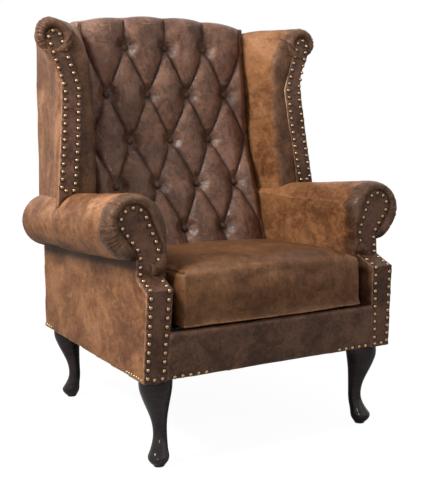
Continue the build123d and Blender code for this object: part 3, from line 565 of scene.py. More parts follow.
def grain_group():
    """Long wood grain with pores."""
    group, given, result = new_group("wood_grain", [
        ("Place", "Vector", None),
        ("Light", "Color", (0.7, 0.5, 0.3, 1)),
        ("Dark", "Color", (0.5, 0.35, 0.2, 1)),
    ], [("Color", "Color"), ("Height", "Float")])
    look = given.outputs
    along = scaled(group, look["Place"], (4.0, 60.0, 60.0))
    rings = cloudy(group, along, 1.4, detail=6.0, distortion=0.7)
    pores = cloudy(group, along, 9.0, detail=2.0, roughness=0.5)
    tone = mixed(group, stepped(group, rings, 0.35, 0.65), look["Dark"], look["Light"])
    group.links.new(tone, result.inputs["Color"])
    group.links.new(plus(group, rings, times(group, pores, 0.4)), result.inputs["Height"])


def weave_group():
    """Crossing threads of a plain woven cloth."""
    group, given, result = new_group("plain_weave", [
        ("Place", "Vector", None),
        ("Threads", "Float", 900.0),
        ("Light", "Color", (0.6, 0.5, 0.4, 1)),
        ("Dark", "Color", (0.3, 0.25, 0.2, 1)),
    ], [("Color", "Color"), ("Height", "Float")])
    look = given.outputs
    bands = [
        add_node(group, "ShaderNodeTexWave", {
            "Vector": look["Place"], "Scale": look["Threads"], "Distortion": 0.6, "Detail": 1.0,
        }, bands_direction=direction).outputs["Fac"]
        for direction in ("X", "Y")
    ]
    height = times(group, *bands)
    soil = cloudy(group, look["Place"], 14.0)
    tone = mixed(group, times(group, height, soil), look["Dark"], look["Light"])
    group.links.new(tone, result.inputs["Color"])
    group.links.new(height, result.inputs["Height"])


# Materials

def new_material(name, **values):
    """A material with its main shader, its place on the object, and plain values on the shader."""
    material = bpy.data.materials.new(name)
    material.use_nodes = True
    tree = material.node_tree
    shader = tree.nodes["Principled BSDF"]
    for label, value in values.items():
        shader.inputs[label.replace("_", " ")].default_value = value
    place = add_node(tree, "ShaderNodeTexCoord").outputs["Object"]
    return material, tree, shader, place


def raised(tree, shader, height, depth):
    """Feeds a height to the shader as small bumps of a depth in metres."""
    bump = add_node(tree, "ShaderNodeBump", {"Height": height, "Distance": depth, "Strength": 0.8})
    tree.links.new(bump.outputs["Normal"], shader.inputs["Normal"])


def mark(tree, name):
    """Values that were written on a mesh's points."""
    return add_node(tree, "ShaderNodeAttribute", attribute_name=name).outputs["Fac"]


def surfaced(tree, group, place, light, dark, **values):
    """One of the shared node groups, with its two colours and its other values."""
    inputs = {"Place": place, "Light": (*light, 1), "Dark": (*dark, 1), **values}
    return add_node(tree, "ShaderNodeGroup", inputs, node_tree=bpy.data.node_groups[group]).outputs


def leather(name, light, dark, patch, contrast, crease, shine, depth, gloss=0.2, coat=0.0):
    """One of the chair's leathers."""
    material, tree, shader, place = new_material(
        name, Specular_IOR_Level=gloss, Coat_Weight=coat, Coat_Roughness=0.32)
    marks = {label: mark(tree, label.lower()) for label in ("Relief", "Grime_and_shade", "Handling_and_shade", "Dust")}
    surface = surfaced(tree, "vintage_leather", place, light, dark,
                       Patch=patch, Contrast=contrast, Crease=crease, Shine=shine, **marks)
    tree.links.new(surface["Color"], shader.inputs["Base Color"])
    tree.links.new(surface["Roughness"], shader.inputs["Roughness"])
    raised(tree, shader, surface["Height"], depth)
    return material


def wood(name, light, dark, roughness, gloss=0.5, depth=0.1 * mm):
    """A wooden finish."""
    material, tree, shader, place = new_material(name, Roughness=roughness, Specular_IOR_Level=gloss)
    grain = surfaced(tree, "wood_grain", place, light, dark)
    tree.links.new(grain["Color"], shader.inputs["Base Color"])
    raised(tree, shader, grain["Height"], depth)
    return material


def metal(name, light, dark, roughness):
    """A metal with tarnish in its low places and a painted highlight on its raised crowns."""
    material, tree, shader, place = new_material(name, Metallic=1.0)
    spots = cloudy(tree, place, 260.0)
    # Raised crowns take the light colour as a painted highlight; low places take dark tarnish.
    crown = stepped(tree, plus(tree, mark(tree, "relief"), times(tree, spots, 0.3)), -0.1, 0.35)
    tree.links.new(mixed(tree, crown, (*dark, 1), (*light, 1)), shader.inputs["Base Color"])
    tree.links.new(stepped(tree, spots, 0.3, 0.7, roughness, roughness + 0.15), shader.inputs["Roughness"])
    raised(tree, shader, spots, 0.05 * mm)
    return material


def cloth(name, threads, light, dark):
    """A plain woven cloth."""
    material, tree, shader, place = new_material(name, Roughness=0.9, Sheen_Weight=0.3)
    weave = surfaced(tree, "plain_weave", place, light, dark, Threads=threads)
    tree.links.new(weave["Color"], shader.inputs["Base Color"])
    raised(tree, shader, weave["Height"], 0.2 * mm)
    return material


def plastic(name, light, dark):
    """Moulded plastic with a fine texture."""
    material, tree, shader, place = new_material(name, Roughness=0.55)
    spots = cloudy(tree, place, 500.0)
    tree.links.new(mixed(tree, spots, (*dark, 1), (*light, 1)), shader.inputs["Base Color"])
    raised(tree, shader, spots, 0.05 * mm)
    return material


def finish(name):
    """A material of the chair, made when it is first asked for."""
    if name not in finishes:
        finishes[name] = new_finish(name)
    return finishes[name]


def new_finish(name):
    """Each of the chair's materials, by the name of its slot or piece."""
    tones = bpy.context.scene.wing_chair_tones
    if name == "tan_leather":
        return leather(name, tones.suede_light, tones.suede_dark,
                       patch=10.0, contrast=1.1, crease=1.6, shine=0.46, depth=0.7 * mm)
    if name == "cushion_leather":
        light = [0.60 * value for value in tones.suede_light]
        dark = [0.66 * value for value in tones.suede_dark]
        return leather(name, light, dark,
                       patch=9.0, contrast=1.0, crease=1.4, shine=0.38, depth=0.6 * mm, coat=0.05)
    if name == "smooth_leather":
        return leather(name, tones.smooth_light, tones.smooth_dark,
                       patch=14.0, contrast=1.2, crease=1.5, shine=0.27, depth=0.6 * mm,
                       gloss=0.34, coat=0.05)
    if name == "front_leather":
        return leather(name, tones.front_light, tones.front_dark,
                       patch=12.0, contrast=1.1, crease=1.4, shine=0.32, depth=0.6 * mm,
                       gloss=0.22, coat=0.04)
    if name == "antique_brass":
        return metal(name, tones.brass, (0.05, 0.028, 0.014), roughness=0.2)
    if name == "spring_steel":
        return metal(name, (0.6, 0.6, 0.6), (0.35, 0.34, 0.33), roughness=0.3)
    if name == "black_lacquer":
        light = [2 * value for value in tones.lacquer]
        return wood(name, light, tones.lacquer, roughness=0.06, gloss=0.28, depth=0.01 * mm)
    if name == "frame_wood":
        return wood(name, (0.62, 0.45, 0.28), (0.45, 0.29, 0.16), roughness=0.65)
    if name == "webbing":
        return cloth(name, 300.0, (0.55, 0.45, 0.32), (0.25, 0.19, 0.12))
    if name == "deck_cloth":
        return cloth(name, 700.0, (0.08, 0.055, 0.04), (0.03, 0.02, 0.016))
    if name == "dust_cloth":
        return cloth(name, 1200.0, (0.035, 0.035, 0.035), (0.012, 0.012, 0.012))
    return plastic("glide_plastic", (0.05, 0.05, 0.05), (0.02, 0.02, 0.02))


# The tufted back

def back_place(height):
    """Place (y, z) and front direction at a height up the back's slope from where its two leaning planes
    meet.
    """
    reach = hypot(height, 22 * mm)
    low = Vector((0, sin(lower_rake), cos(lower_rake)))
    high = Vector((0, sin(upper_rake), cos(upper_rake)))
    place = Vector((0, fold_y, fold_z)) + high * (height + reach) / 2 + low * (height - reach) / 2
    run = (high * (1 + height / reach) + low * (1 - height / reach)).normalized()
    return place, Vector((0, -run.z, run.y))


def buttons_in(row):
    """How many buttons a row holds, from row -2 at the foot to row 2 at the head."""
    return 4 if row % 2 else 3


def tuft(x, height, puff):
    """How far the tufted leather stands over its buttons at a place on the back."""
    well_radius = 36 * mm
    sway = 2.2 * mm * uneven((x, 1, height), 55 * mm)
    inside = min(2 * row_pitch, max(-2 * row_pitch, height + sway))
    across = (x + sway * cos(40 * height)) / button_pitch
    up = inside / row_pitch / 2
    pleats = (abs(sin(pi * (across + up))) * abs(sin(pi * (across - up)))) ** 0.36
    middle_row = round(inside / row_pitch)
    nearest = 1.0
    for row in range(max(-2, middle_row - 1), min(2, middle_row + 1) + 1):
        last = (buttons_in(row) - 1) / 2
        shift = last % 1
        column = min(last, max(-last, round(across - shift) + shift))
        gap = Vector(((across - column) * button_pitch, height - row * row_pitch, 0))
        well = 1 - 0.9 * (1 - bumped(4 * mm, well_radius, gap.length))
        crease = (0.5 + 0.5 * cos(9 * atan2(gap.y, gap.x) + 7 * column + 5 * row)) ** 3
        near = bumped(40 * mm, 13 * mm, gap.length) * bumped(8 * mm, 13 * mm, gap.length)
        nearest = min(nearest, well) - 0.07 * crease * near
    return puff * (0.10 + 0.90 * pleats) * nearest


def tuft_shade(share):
    """Painted shade with some grime in the pleats and wells: how dark the leather is where it stands a share
    of its full height over the buttons.
    """
    return 0.24 * bumped(0.34, 0.12, share) + 0.45 * bumped(0.13, 0.03, share)


def wrinkled(x, height):
    """Soft dents and slanting wrinkles of the tufted leather."""
    dents = ripple((x, 0, height), (1.3, 48, 0), (0.5, 15, 0))
    slant = uneven((x + 0.5 * height, 3, height * 0.3), 16 * mm)
    masked = bumped(-0.1, 0.35, uneven((x, 9, height), 70 * mm))
    return dents - 1.3 * mm * masked * bumped(0.22, 0.0, abs(slant))


class WINGCHAIR_OT_tufted_back(bpy.types.Operator):
    """Makes the deep-buttoned back, from the deck over the crest to the rear"""
    bl_idname = "wing_chair.tufted_back"
    bl_label = "Tufted back"

    def execute(self, context):
        puff = context.scene.wing_chair_padding.puff
        low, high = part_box("inside_back")
        half = high.x - 1 * mm
        arch_rise = 21 * mm
        arch_radius = (half ** 2 + arch_rise ** 2) / (2 * arch_rise)
        columns, front_rows, top_rows, rear_rows = 190, 262, 28, 40
        rows = front_rows + top_rows + rear_rows
        crest = 24 * mm
        sunk = 0.6 * puff
        depth = 44 * mm
        rear_y = high.y - 4 * mm
        foot = (low.z - fold_z) / cos(lower_rake) + 4 * mm
        foot_place, foot_out = back_place(foot)
        bm = bmesh.new()
        grime_and_shade, dust = layers(bm, "grime_and_shade", "dust")
        bmesh.ops.create_grid(bm, x_segments=columns, y_segments=rows, size=0.5)
        for vertex in bm.verts:
            x = vertex.co.x * 2 * half
            step = round((vertex.co.y + 0.5) * rows)
            arch = high.z - arch_radius + sqrt(arch_radius ** 2 - x ** 2) - 1.5 * mm
            head = (arch - crest - fold_z) / cos(upper_rake)
            height = foot + (head - foot) * min(1.0, step / front_rows) if step < rows else foot
            place, out = back_place(height)
            full = tuft(x, height, puff)
            edge = bumped(half, half - 30 * mm, abs(x)) ** 0.6
            stands = full * (0.15 + 0.85 * edge) + wrinkled(x, height)
            if step <= front_rows:
                # Painted shade with some grime in the pleats and button wells, less at the sides.
                vertex[grime_and_shade] = tuft_shade(full / puff) * bumped(half, half - 12 * mm, abs(x))
                vertex.co = place + out * stands
            elif step <= front_rows + top_rows:
                turn = pi / 2 * (step - front_rows) / top_rows
                # The painted shade of the pleats fades out over the crest.
                vertex[grime_and_shade] = tuft_shade(full / puff) * cos(turn)
                reach = crest + (stands - sunk) * cos(turn)
                groove = 0.25 * (puff - full) * sin(turn)
                over = Vector((0, crest - sunk - reach * cos(turn), (crest - groove) * sin(turn)))
                vertex.co = place + over
            elif step < rows:
                start = place + Vector((0, crest - sunk, crest))
                corners = [start, Vector((0, rear_y, start.z)), Vector((0, rear_y, start.z - 20 * mm))]
                corners += [Vector((0, place.y + depth, start.z - 24 * mm)), foot_place - foot_out * depth]
                run = 4 * (step - front_rows - top_rows) / rear_rows
                corner = min(3, int(run))
                vertex.co = corners[corner].lerp(corners[corner + 1], run - corner)
            else:
                vertex.co = place + out * stands
            vertex.co.x = x
            # Paler patches towards the top: dust with a painted highlight along the crest.
            vertex[dust] = 0.4 * bumped(950 * mm, 1050 * mm, vertex.co.z) * patches(vertex.co, 50 * mm, -0.4)
        merged(bm)
        closed(bm)
        dressed(bm, "padded_back", ["inside_back"], "smooth_leather", fill=0.9, passes=6)
        return {"FINISHED"}


class WINGCHAIR_OT_back_buttons(bpy.types.Operator):
    """Makes the leather-covered buttons of the back"""
    bl_idname = "wing_chair.back_buttons"
    bl_label = "Back buttons"

    def execute(self, context):
        radius = context.scene.wing_chair_padding.button_radius
        profile = (
            (0.0, 0.62), (0.35, 0.60), (0.65, 0.48), (0.88, 0.27), (1.0, 0.05), (0.97, -0.12), (0.0, -0.2))
        bm = bmesh.new()
        for row in range(-2, 3):
            place, out = back_place(row * row_pitch)
            for number in range(buttons_in(row)):
                button = lathed([(radius * reach, radius * height) for reach, height in profile], steps=28)
                for vertex in button.verts:
                    turn = atan2(vertex.co.y, vertex.co.x)
                    edge = hypot(vertex.co.x, vertex.co.y) / radius
                    vertex.co *= 1 + 0.035 * edge * cos(9 * turn + number + row)
                x = (number - (buttons_in(row) - 1) / 2) * button_pitch
                stood(button, place + Vector((x, 0, 0)) + out * 1.2 * mm, out)
                take_in(bm, button)
        dressed(bm, "covered_buttons", ["back_buttons"], "front_leather", slot="smooth_leather", passes=1)
        return {"FINISHED"}


class WINGCHAIR_OT_seat_cushion(bpy.types.Operator):
    """Stuffs the loose seat cushion and sews its boxed edges"""
    bl_idname = "wing_chair.seat_cushion"
    bl_label = "Seat cushion"

    def execute(self, context):
        swell = context.scene.wing_chair_padding.cushion_swell
        low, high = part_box("seat_cushion")
        middle = (low + high) / 2
        half = (high - low) / 2
        boxing = 24 * mm
        crown = 10 * mm
        high_seam = high.z - 27 * mm
        low_seam = low.z + 7 * mm
        seam_width = 6 * mm
        bm = cad_copy("seat_cushion")
        for vertex in bm.verts:
            away = vertex.co - middle
            vertex.co -= Vector([0.7 * swell * away[axis] / half[axis] for axis in range(3)])
        bm = softened(skinned(bm, size=6 * mm), rounds=2)

        def free(place):
            rests = 0.25 + 0.75 * bumped(low.z, low.z + 30 * mm, place.z)
            beside = 0.55 if abs(place.x) > half.x - 20 * mm else 1.0
            return rests * beside

        bm = finer(stuffed(bm, swell, free))
        grime_and_shade, dust = layers(bm, "grime_and_shade", "dust")
        for vertex in bm.verts:
            place = vertex.co
            inward = max(abs(place.x) - half.x, abs(place.y - middle.y) - half.y) + boxing
            # Paler band along the top front edge: scuffs with a painted sheen.
            rub_and_highlight = bumped(34 * mm, 4 * mm, abs(place.z - high.z + 24 * mm))
            rub_and_highlight *= bumped(60 * mm, 10 * mm, place.y - low.y)
            vertex[dust] = 0.7 * rub_and_highlight * patches(place, 40 * mm, -0.4)
            if inward <= 0:
                continue
            rim = high_seam + crown * (1 - (place.x / half.x) ** 2)
            for seam in (rim + 3 * mm, low_seam):
                depth = bumped(seam_width, 0, abs(place.z - seam))
                # Painted shade in the sewn seam grooves.
                vertex[grime_and_shade] = max(vertex[grime_and_shade], 0.8 * bumped(0.3, 1.0, depth))
                vertex.co = vertex.co - vertex.normal * depth * 2.2 * mm
            if place.z < rim:
                vertex.co += vertex.normal * ripple(place, (1.2, 60, 0))
            if place.y < middle.y:
                square = 11 * mm * bumped(low.z + 26 * mm, low.z + 3 * mm, place.z)
                square *= bumped(0, 12 * mm, inward)
                vertex.co.y = min(vertex.co.y, max(low.y + 1.5 * mm, vertex.co.y - square))
        for vertex in bm.verts:
            vertex.co.x = min(half.x + 0.2 * mm, max(-half.x - 0.2 * mm, vertex.co.x))
            vertex.co.z = max(low.z, vertex.co.z)
        dressed(bm, "stuffed_seat_cushion", ["seat_cushion"], "cushion_leather",
                slot="tan_leather", fill=0.85, body=CUSHION, passes=5)
        return {"FINISHED"}


# The arms and wings, gathered round their scrolls

def from_line(spot, line):
    """Distance of a spot from a short line."""
    start, end = line
    run = end - start
    share = max(0.0, min(1.0, (spot - start).dot(run) / run.length_squared))
    return (spot - start - run * share).length


def from_scroll(x, z):
    """Distance in the front view from the edge of the arm's nailed front, above its ramp."""
    axis = scroll_centre - neck_centre
    share = max(0.0, min(1.0, (Vector((x, z)) - neck_centre).dot(axis) / axis.length_squared))
    centre = neck_centre + axis * share
    radius = neck_radius + (scroll_radius - neck_radius) * share
    return (Vector((x, z)) - centre).length - radius


def roll(away, start, width):
    """Section of the leather roll round a nailed front: 1 at its middle, 0 at its edges."""
    return sin(pi * max(0.0, min(1.0, (away - start) / width))) ** 0.7


def gathered(angle, behind, count, sway, seed, sharpness, low):
    """Small pleats round a scroll, at an angle and a distance behind its front: 1 in a pleat, 0 between."""
    pleats = (0.5 + 0.5 * cos(count * angle + sway * uneven((angle, seed, 0), 0.35))) ** sharpness
    return pleats * bumped(low, low + 0.9, uneven((angle, seed + 5, behind / (60 * mm)), 0.22))


class WINGCHAIR_OT_arm_pads(bpy.types.Operator):
    """Rolls and stuffs the padded arms, gathered round their nailed fronts"""
    bl_idname = "wing_chair.arm_pads"
    bl_label = "Arm pads"

    def execute(self, context):
        padding = context.scene.wing_chair_padding
        low, high = arm_box
        front = -339 * mm
        front_round = 20 * mm
        rear_round = 40 * mm
        radius = roll_radius - 1 * mm
        wall = 40 * mm
        wall_end = 150 * mm
        run = Vector((-side_taper, 1, -arm_fall)).normalized()
        length = (high.y - front) / run.y
        quarter = [radians(angle) for angle in range(0, 91, 15)]
        profile = [(0.0, 0.0)]
        profile += [(radius - front_round * (1 - sin(turn)), front_round * (1 - cos(turn)))
                    for turn in quarter]
        profile += [(radius - rear_round * (1 - cos(turn)), length - rear_round * (1 - sin(turn)))
                    for turn in quarter]
        profile += [(0.0, length)]
        bm = lathed(profile, steps=72)
        stood(bm, (roll_x, front, roll_z), run)
        for vertex in bmesh.ops.create_cube(bm, size=1.0)["verts"]:
            vertex.co.x = low.x + 1 * mm if vertex.co.x < 0 else low.x + wall
            vertex.co.y = front + 1 * mm if vertex.co.y < 0 else wall_end
            vertex.co.z = low.z + 2 * mm if vertex.co.z < 0 else roll_z
        bmesh.ops.recalc_face_normals(bm, faces=bm.faces)
        bm = softened(skinned(bm, padding.skin), rounds=6)

        def free(place):
            return 0.2 + 0.8 * bumped(front + 40 * mm, front + 120 * mm, place.y)

        bm = finer(stuffed(bm, 5 * mm, free))
        grime_and_shade, handling_and_shade, dust = layers(bm, "grime_and_shade", "handling_and_shade", "dust")
        for vertex in bm.verts:
            place = vertex.co
            # Paler patches on the upward-facing top of the roll: dust with a painted highlight.
            vertex[dust] = 0.75 * bumped(0.1, 0.8, vertex.normal.z) * patches(place, 60 * mm, -0.5, 0.3)
            vertex[dust] *= bumped(roll_x - 40 * mm, roll_x - 5 * mm, place.x)
            # Painted shadow line under the roll, where it meets the outside arm.
            under = atan2(place.x - roll_x, roll_z + arm_fall * (front - place.y) - place.z)
            crease = bumped(0.42, 0.16, abs(under - 0.02)) * bumped(roll_x - 8 * mm, roll_x, place.x)
            away = from_scroll(place.x, place.z)
            behind = place.y - front
            near = bumped(46 * mm, 10 * mm, behind) * bumped(420 * mm, 450 * mm, place.z)
            forward = padding.ring * roll(away, -2 * mm, 34 * mm)
            angle = atan2(place.z - scroll_centre.y, place.x - scroll_centre.x)
            outward = bumped(-1.0, 0.9, cos(angle - radians(20)))
            gather = gathered(angle, behind, count=38, sway=7.0, seed=0, sharpness=3, low=-0.5)
            reach = bumped(52 * mm, 6 * mm, behind) * bumped(1 * mm, 8 * mm, away)
            wear_and_lighting = 0.5 + 0.9 * uneven(place, 22 * mm, 2)
            # Darker ring round the nailed front: handled leather with painted shade on the front-facing roll.
            vertex[handling_and_shade] = bumped(46 * mm, 24 * mm, behind + 11 * mm * wear_and_lighting) * (1 - 0.2 * wear_and_lighting)
            # Painted shade where the leather tucks in behind the nailed front.
            tuck_shade = bumped(6 * mm, 0, away) * bumped(8 * mm, 2 * mm, behind)
            vertex[grime_and_shade] = max(0.85 * crease, 0.8 * tuck_shade)
            vertex.co = place + Vector((0, -forward * bumped(30 * mm, 6 * mm, behind), 0))
            if away < -1 * mm and behind < 12 * mm:
                vertex.co.y = max(vertex.co.y, front + panel_depth + 1.5 * mm)
            pleat = padding.pleat * gather * reach * (0.25 + 0.75 * outward) * near ** 0.3
            vertex.co -= vertex.normal * pleat
            vertex.co += vertex.normal * ripple(place, (1.6, 90, 0), (0.7, 26, 0))
        for vertex in bm.verts:
            vertex.co.x = max(low.x + 0.1 * mm, vertex.co.x)
        pair(bm, "rolled_arm", "arm_pad", "tan_leather", fill=0.9, passes=6)
        return {"FINISHED"}


def bowed(start, end, bow, steps):
    """Points from a start towards an end on an arc that swells to the left by its bow."""
    chord = end - start
    side = Vector((-chord.y, chord.x)).normalized()
    points = []
    for step in range(steps):
        share = step / steps
        points.append(start + chord * share + side * bow * 4 * share * (1 - share))
    return points


def round_scroll(centre, radius, start, end, steps):
    """Points on an arc round a centre, between two angles."""
    points = []
    for step in range(steps):
        turn = start + (end - start) * step / steps
        points.append(centre + radius * Vector((cos(turn), sin(turn))))
    return points


def wing_outline(foot, start, turn, shoulder, top, under, waist, bows, scroll):
    """Points (x, z) round the wing, on arcs between its corners and round its scroll."""
    starts = (foot, start, turn, shoulder, under, waist)
    ends = (start, turn, shoulder, top, waist, foot)
    sides = [bowed(*side) for side in zip(starts, ends, bows, wing_steps)]
    return sum(sides[:4], []) + round_scroll(*scroll, wing_scroll_steps) + sum(sides[4:], [])


def wing_front_view(inset):
    """Outline of the wing at its front, inset for its rounded edge."""
    radius = wing_scroll_radius - inset
    slant = inset * cos(radians(45))
    return wing_outline(
        foot=Vector((386, 520)) * mm,
        start=Vector((277 * mm + inset, 520 * mm)),
        turn=Vector((272 * mm + inset, 925 * mm)),
        shoulder=Vector((306 * mm + slant, 1000 * mm - slant)),
        top=wing_scroll + Vector((0, radius)),
        under=wing_scroll + radius * Vector((cos(radians(60)), -sin(radians(60)))),
        waist=Vector((350, 860)) * mm,
        bows=(0, 6 * mm, 6 * mm, 5 * mm, -13 * mm, -3 * mm),
        scroll=(wing_scroll, radius, radians(90), radians(-60)))


def wing_rear_view():
    """Outline of the wing at the rear, with the same number of points."""
    inner = arm_box[0].x
    top_z = 1040 * mm
    radius = 13 * mm
    return wing_outline(
        foot=Vector((315.6, 520)) * mm,
        start=Vector((inner, 520 * mm)),
        turn=Vector((inner, top_z - 24 * mm)),
        shoulder=Vector((inner + 7 * mm, top_z - 7 * mm)),
        top=Vector((285.2, 1040)) * mm,
        under=Vector((298.2, 1027)) * mm,
        waist=Vector((304.2, 860)) * mm,
        bows=(0, 0, 2 * mm, 2 * mm, -1 * mm, -1 * mm),
        scroll=(Vector((285.2, 1027)) * mm, radius, radians(90), 0))


def wing_front_y(z):
    """Where the wing's padding starts behind its nailed front, at a height."""
    return wing_foot_y + wing_lean * (z - wing_foot_z) + panel_depth


class WINGCHAIR_OT_wing_pads(bpy.types.Operator):
    """Makes the padded wings with their outward scrolls"""
    bl_idname = "wing_chair.wing_pads"
    bl_label = "Wing pads"

    def execute(self, context):
        padding = context.scene.wing_chair_padding
        stations = 84
        front_steps = 14
        seam_step = 0.45
        crest_share = 0.98
        turns = [pi / 2 * step / front_steps for step in range(front_steps + 1)]
        fronts = [wing_front_view(wing_round * (1 - sin(turn))) for turn in turns]
        rear = wing_rear_view()
        around = len(rear)
        rear_top_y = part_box("outside_back")[1].y - 6 * mm
        rear_slope = 18 / 866
        bm = bmesh.new()
        bmesh.ops.create_grid(bm, x_segments=around, y_segments=stations, size=0.5)
        for vertex in bm.verts:
            column = round((vertex.co.x + 0.5) * around) % around
            step = round((vertex.co.y + 0.5) * stations)
            if step <= front_steps:
                spot = fronts[step][column]
                y = wing_front_y(spot.y) + wing_round * (1 - cos(turns[step]))
            else:
                share = (step - front_steps) / (stations - front_steps)
                front_spot = fronts[-1][column]
                front_y = wing_front_y(front_spot.y) + wing_round
                over_crest = bumped(56, 76, column) * bumped(118, 98, column)
                seam_share = wing_seam_share + (crest_share - wing_seam_share) * over_crest
                seam_spot = front_spot.lerp(rear[column], seam_share)
                seam_y = wing_seam_y + wing_seam_slope * (seam_spot.y - wing_foot_z)
                rear_y = rear_top_y - (chair_box[1].z - rear[column].y) * rear_slope
                if share < seam_step:
                    spot = front_spot.lerp(seam_spot, share / seam_step)
                    y = front_y + (seam_y - front_y) * share / seam_step
                else:
                    spot = seam_spot.lerp(rear[column], (share - seam_step) / (1 - seam_step))
                    y = seam_y + (rear_y - seam_y) * (share - seam_step) / (1 - seam_step)
            vertex.co = Vector((spot.x, y, spot.y))
        merged(bm)
        closed(bm)
        bmesh.ops.recalc_face_normals(bm, faces=bm.faces)
        bm = softened(skinned(bm, padding.skin), rounds=3)

        def free(place):
            return bumped(300 * mm, 60 * mm, place.y) * bumped(620 * mm, 700 * mm, place.z)

        bm = finer(stuffed(bm, 4 * mm, free))
        handling_and_shade, grime_and_shade, dust = layers(bm, "handling_and_shade", "grime_and_shade", "dust")
        for vertex in bm.verts:
            place = vertex.co
            # Paler patches that grow towards the top of the wing.
            vertex[dust] = 0.5 * patches(place, 70 * mm, high=0.5) * bumped(720 * mm, 900 * mm, place.z)
            behind = place.y - wing_front_y(place.z)
            wear_and_lighting = 0.5 + 0.9 * uneven(place, 22 * mm, 2)
            # Darker front roll: handled leather with painted shade on the front-facing roll.
            vertex[handling_and_shade] = bumped(24 * mm, 8 * mm, behind + 5 * mm * wear_and_lighting) * (0.9 - 0.2 * wear_and_lighting)
            away = (Vector((place.x, place.z)) - wing_strip_centre).length - 23 * mm
            angle = atan2(place.z - wing_strip_centre.y, place.x - wing_strip_centre.x)
            scroll = bumped(60 * mm, 30 * mm, away) * bumped(930 * mm, 950 * mm, place.z)
            forward = 9 * mm * roll(away, -1 * mm, 26 * mm) * scroll
            vertex.co = place - Vector((0, forward * bumped(26 * mm, 6 * mm, behind), 0))
            gather = gathered(angle, behind, count=30, sway=6.0, seed=2, sharpness=2, low=-0.6)
            reach = bumped(60 * mm, 8 * mm, behind) * bumped(3 * mm, 12 * mm, away) * scroll
            outward = bumped(-0.6, 0.7, cos(angle + radians(5)))
            vertex.co -= vertex.normal * padding.pleat * 0.9 * gather * reach * outward
            seam = from_line(Vector((place.x, place.z)), shoulder_seam)
            stitched = bumped(3.2 * mm, 0.6 * mm, seam) * bumped(40 * mm, 30 * mm, behind)
            # Painted shade along the shoulder seam.
            vertex[grime_and_shade] = 0.9 * stitched
            vertex.co -= vertex.normal * 1.6 * mm * stitched
            vertex.co += vertex.normal * ripple(place, (1.5, 80, 4), (0.7, 24, 0))
        pair(bm, "padded_wing", "wing_pad", "tan_leather", fill=0.85, passes=6)
        return {"FINISHED"}


# Covers, nailed fronts and nails

class WINGCHAIR_OT_covers(bpy.types.Operator):
    """Makes the flat leather covers outside the arms, the wings and the back"""
    bl_idname = "wing_chair.covers"
    bl_label = "Outside covers"

    def execute(self, context):
        for node in ("outside_arm", "outside_wing"):
            bm = soft_copy([f"right_{node}"], size=3 * mm, rounds=2)
            grime_and_shade, dust = layers(bm, "grime_and_shade", "dust")
            for vertex in bm.verts:
                place = vertex.co
                if node == "outside_wing":
                    vertex[dust] = 0.5 * patches(place, 60 * mm)
                else:
                    # Painted shadow on the outside arm just under the roll.
                    crease = crease_z - arm_fall * (place.y - arm_box[0].y)
                    vertex[grime_and_shade] = 0.9 * bumped(26 * mm, 12 * mm, crease - place.z)
                vertex.co = place + vertex.normal * (0.5 * mm + ripple(place, (0.9, 110, 8), (0.4, 35, 3)))
            pair(bm, f"stretched_{node}", node, "tan_leather", passes=5)
        bm = soft_copy(["outside_back"], size=3.4 * mm, rounds=2)
        for vertex in bm.verts:
            vertex.co += vertex.normal * (0.4 * mm + ripple(vertex.co, (1.1, 130, 8), (0.4, 35, 3)))
        dressed(bm, "stretched_outside_back", ["outside_back"], "tan_leather", passes=5)
        return {"FINISHED"}


def nail_seats(node):
    """Foot and direction of each nail head of an exact node."""
    bm = cad_copy(node)
    left = set(bm.verts)
    seats = []
    for first in bm.verts:
        if first not in left:
            continue
        left.remove(first)
        island = [first]
        for vertex in island:
            for link in vertex.link_edges:
                other = link.other_vert(vertex)
                if other in left:
                    left.remove(other)
                    island.append(other)
        middle = sum((vertex.co for vertex in island), Vector()) / len(island)
        ranked = sorted(island, key=lambda vertex: (vertex.co - middle).length)
        half = len(ranked) // 2
        crown = sum((vertex.co for vertex in ranked[:half]), Vector()) / half
        foot = sum((vertex.co for vertex in ranked[half:]), Vector()) / (len(ranked) - half)
        seats.append((foot.copy(), (crown - foot).normalized()))
    bm.free()
    return seats


def shade_round_nails(bm, node):
    """Paints shade on the leather round the nails of an exact node, most on the side away from the key lamp.
    """
    shade = Vector((0.8, 0, -1.0)) * mm
    seats = nail_seats(node)
    tree = KDTree(len(seats))
    for number, (foot, _) in enumerate(seats):
        tree.insert(foot + shade, number)
    tree.balance()
    grime_and_shade, = layers(bm, "grime_and_shade")
    for vertex in bm.verts:
        vertex[grime_and_shade] = 0.85 * bumped(8.5 * mm, 5.4 * mm, tree.find(vertex.co)[2])


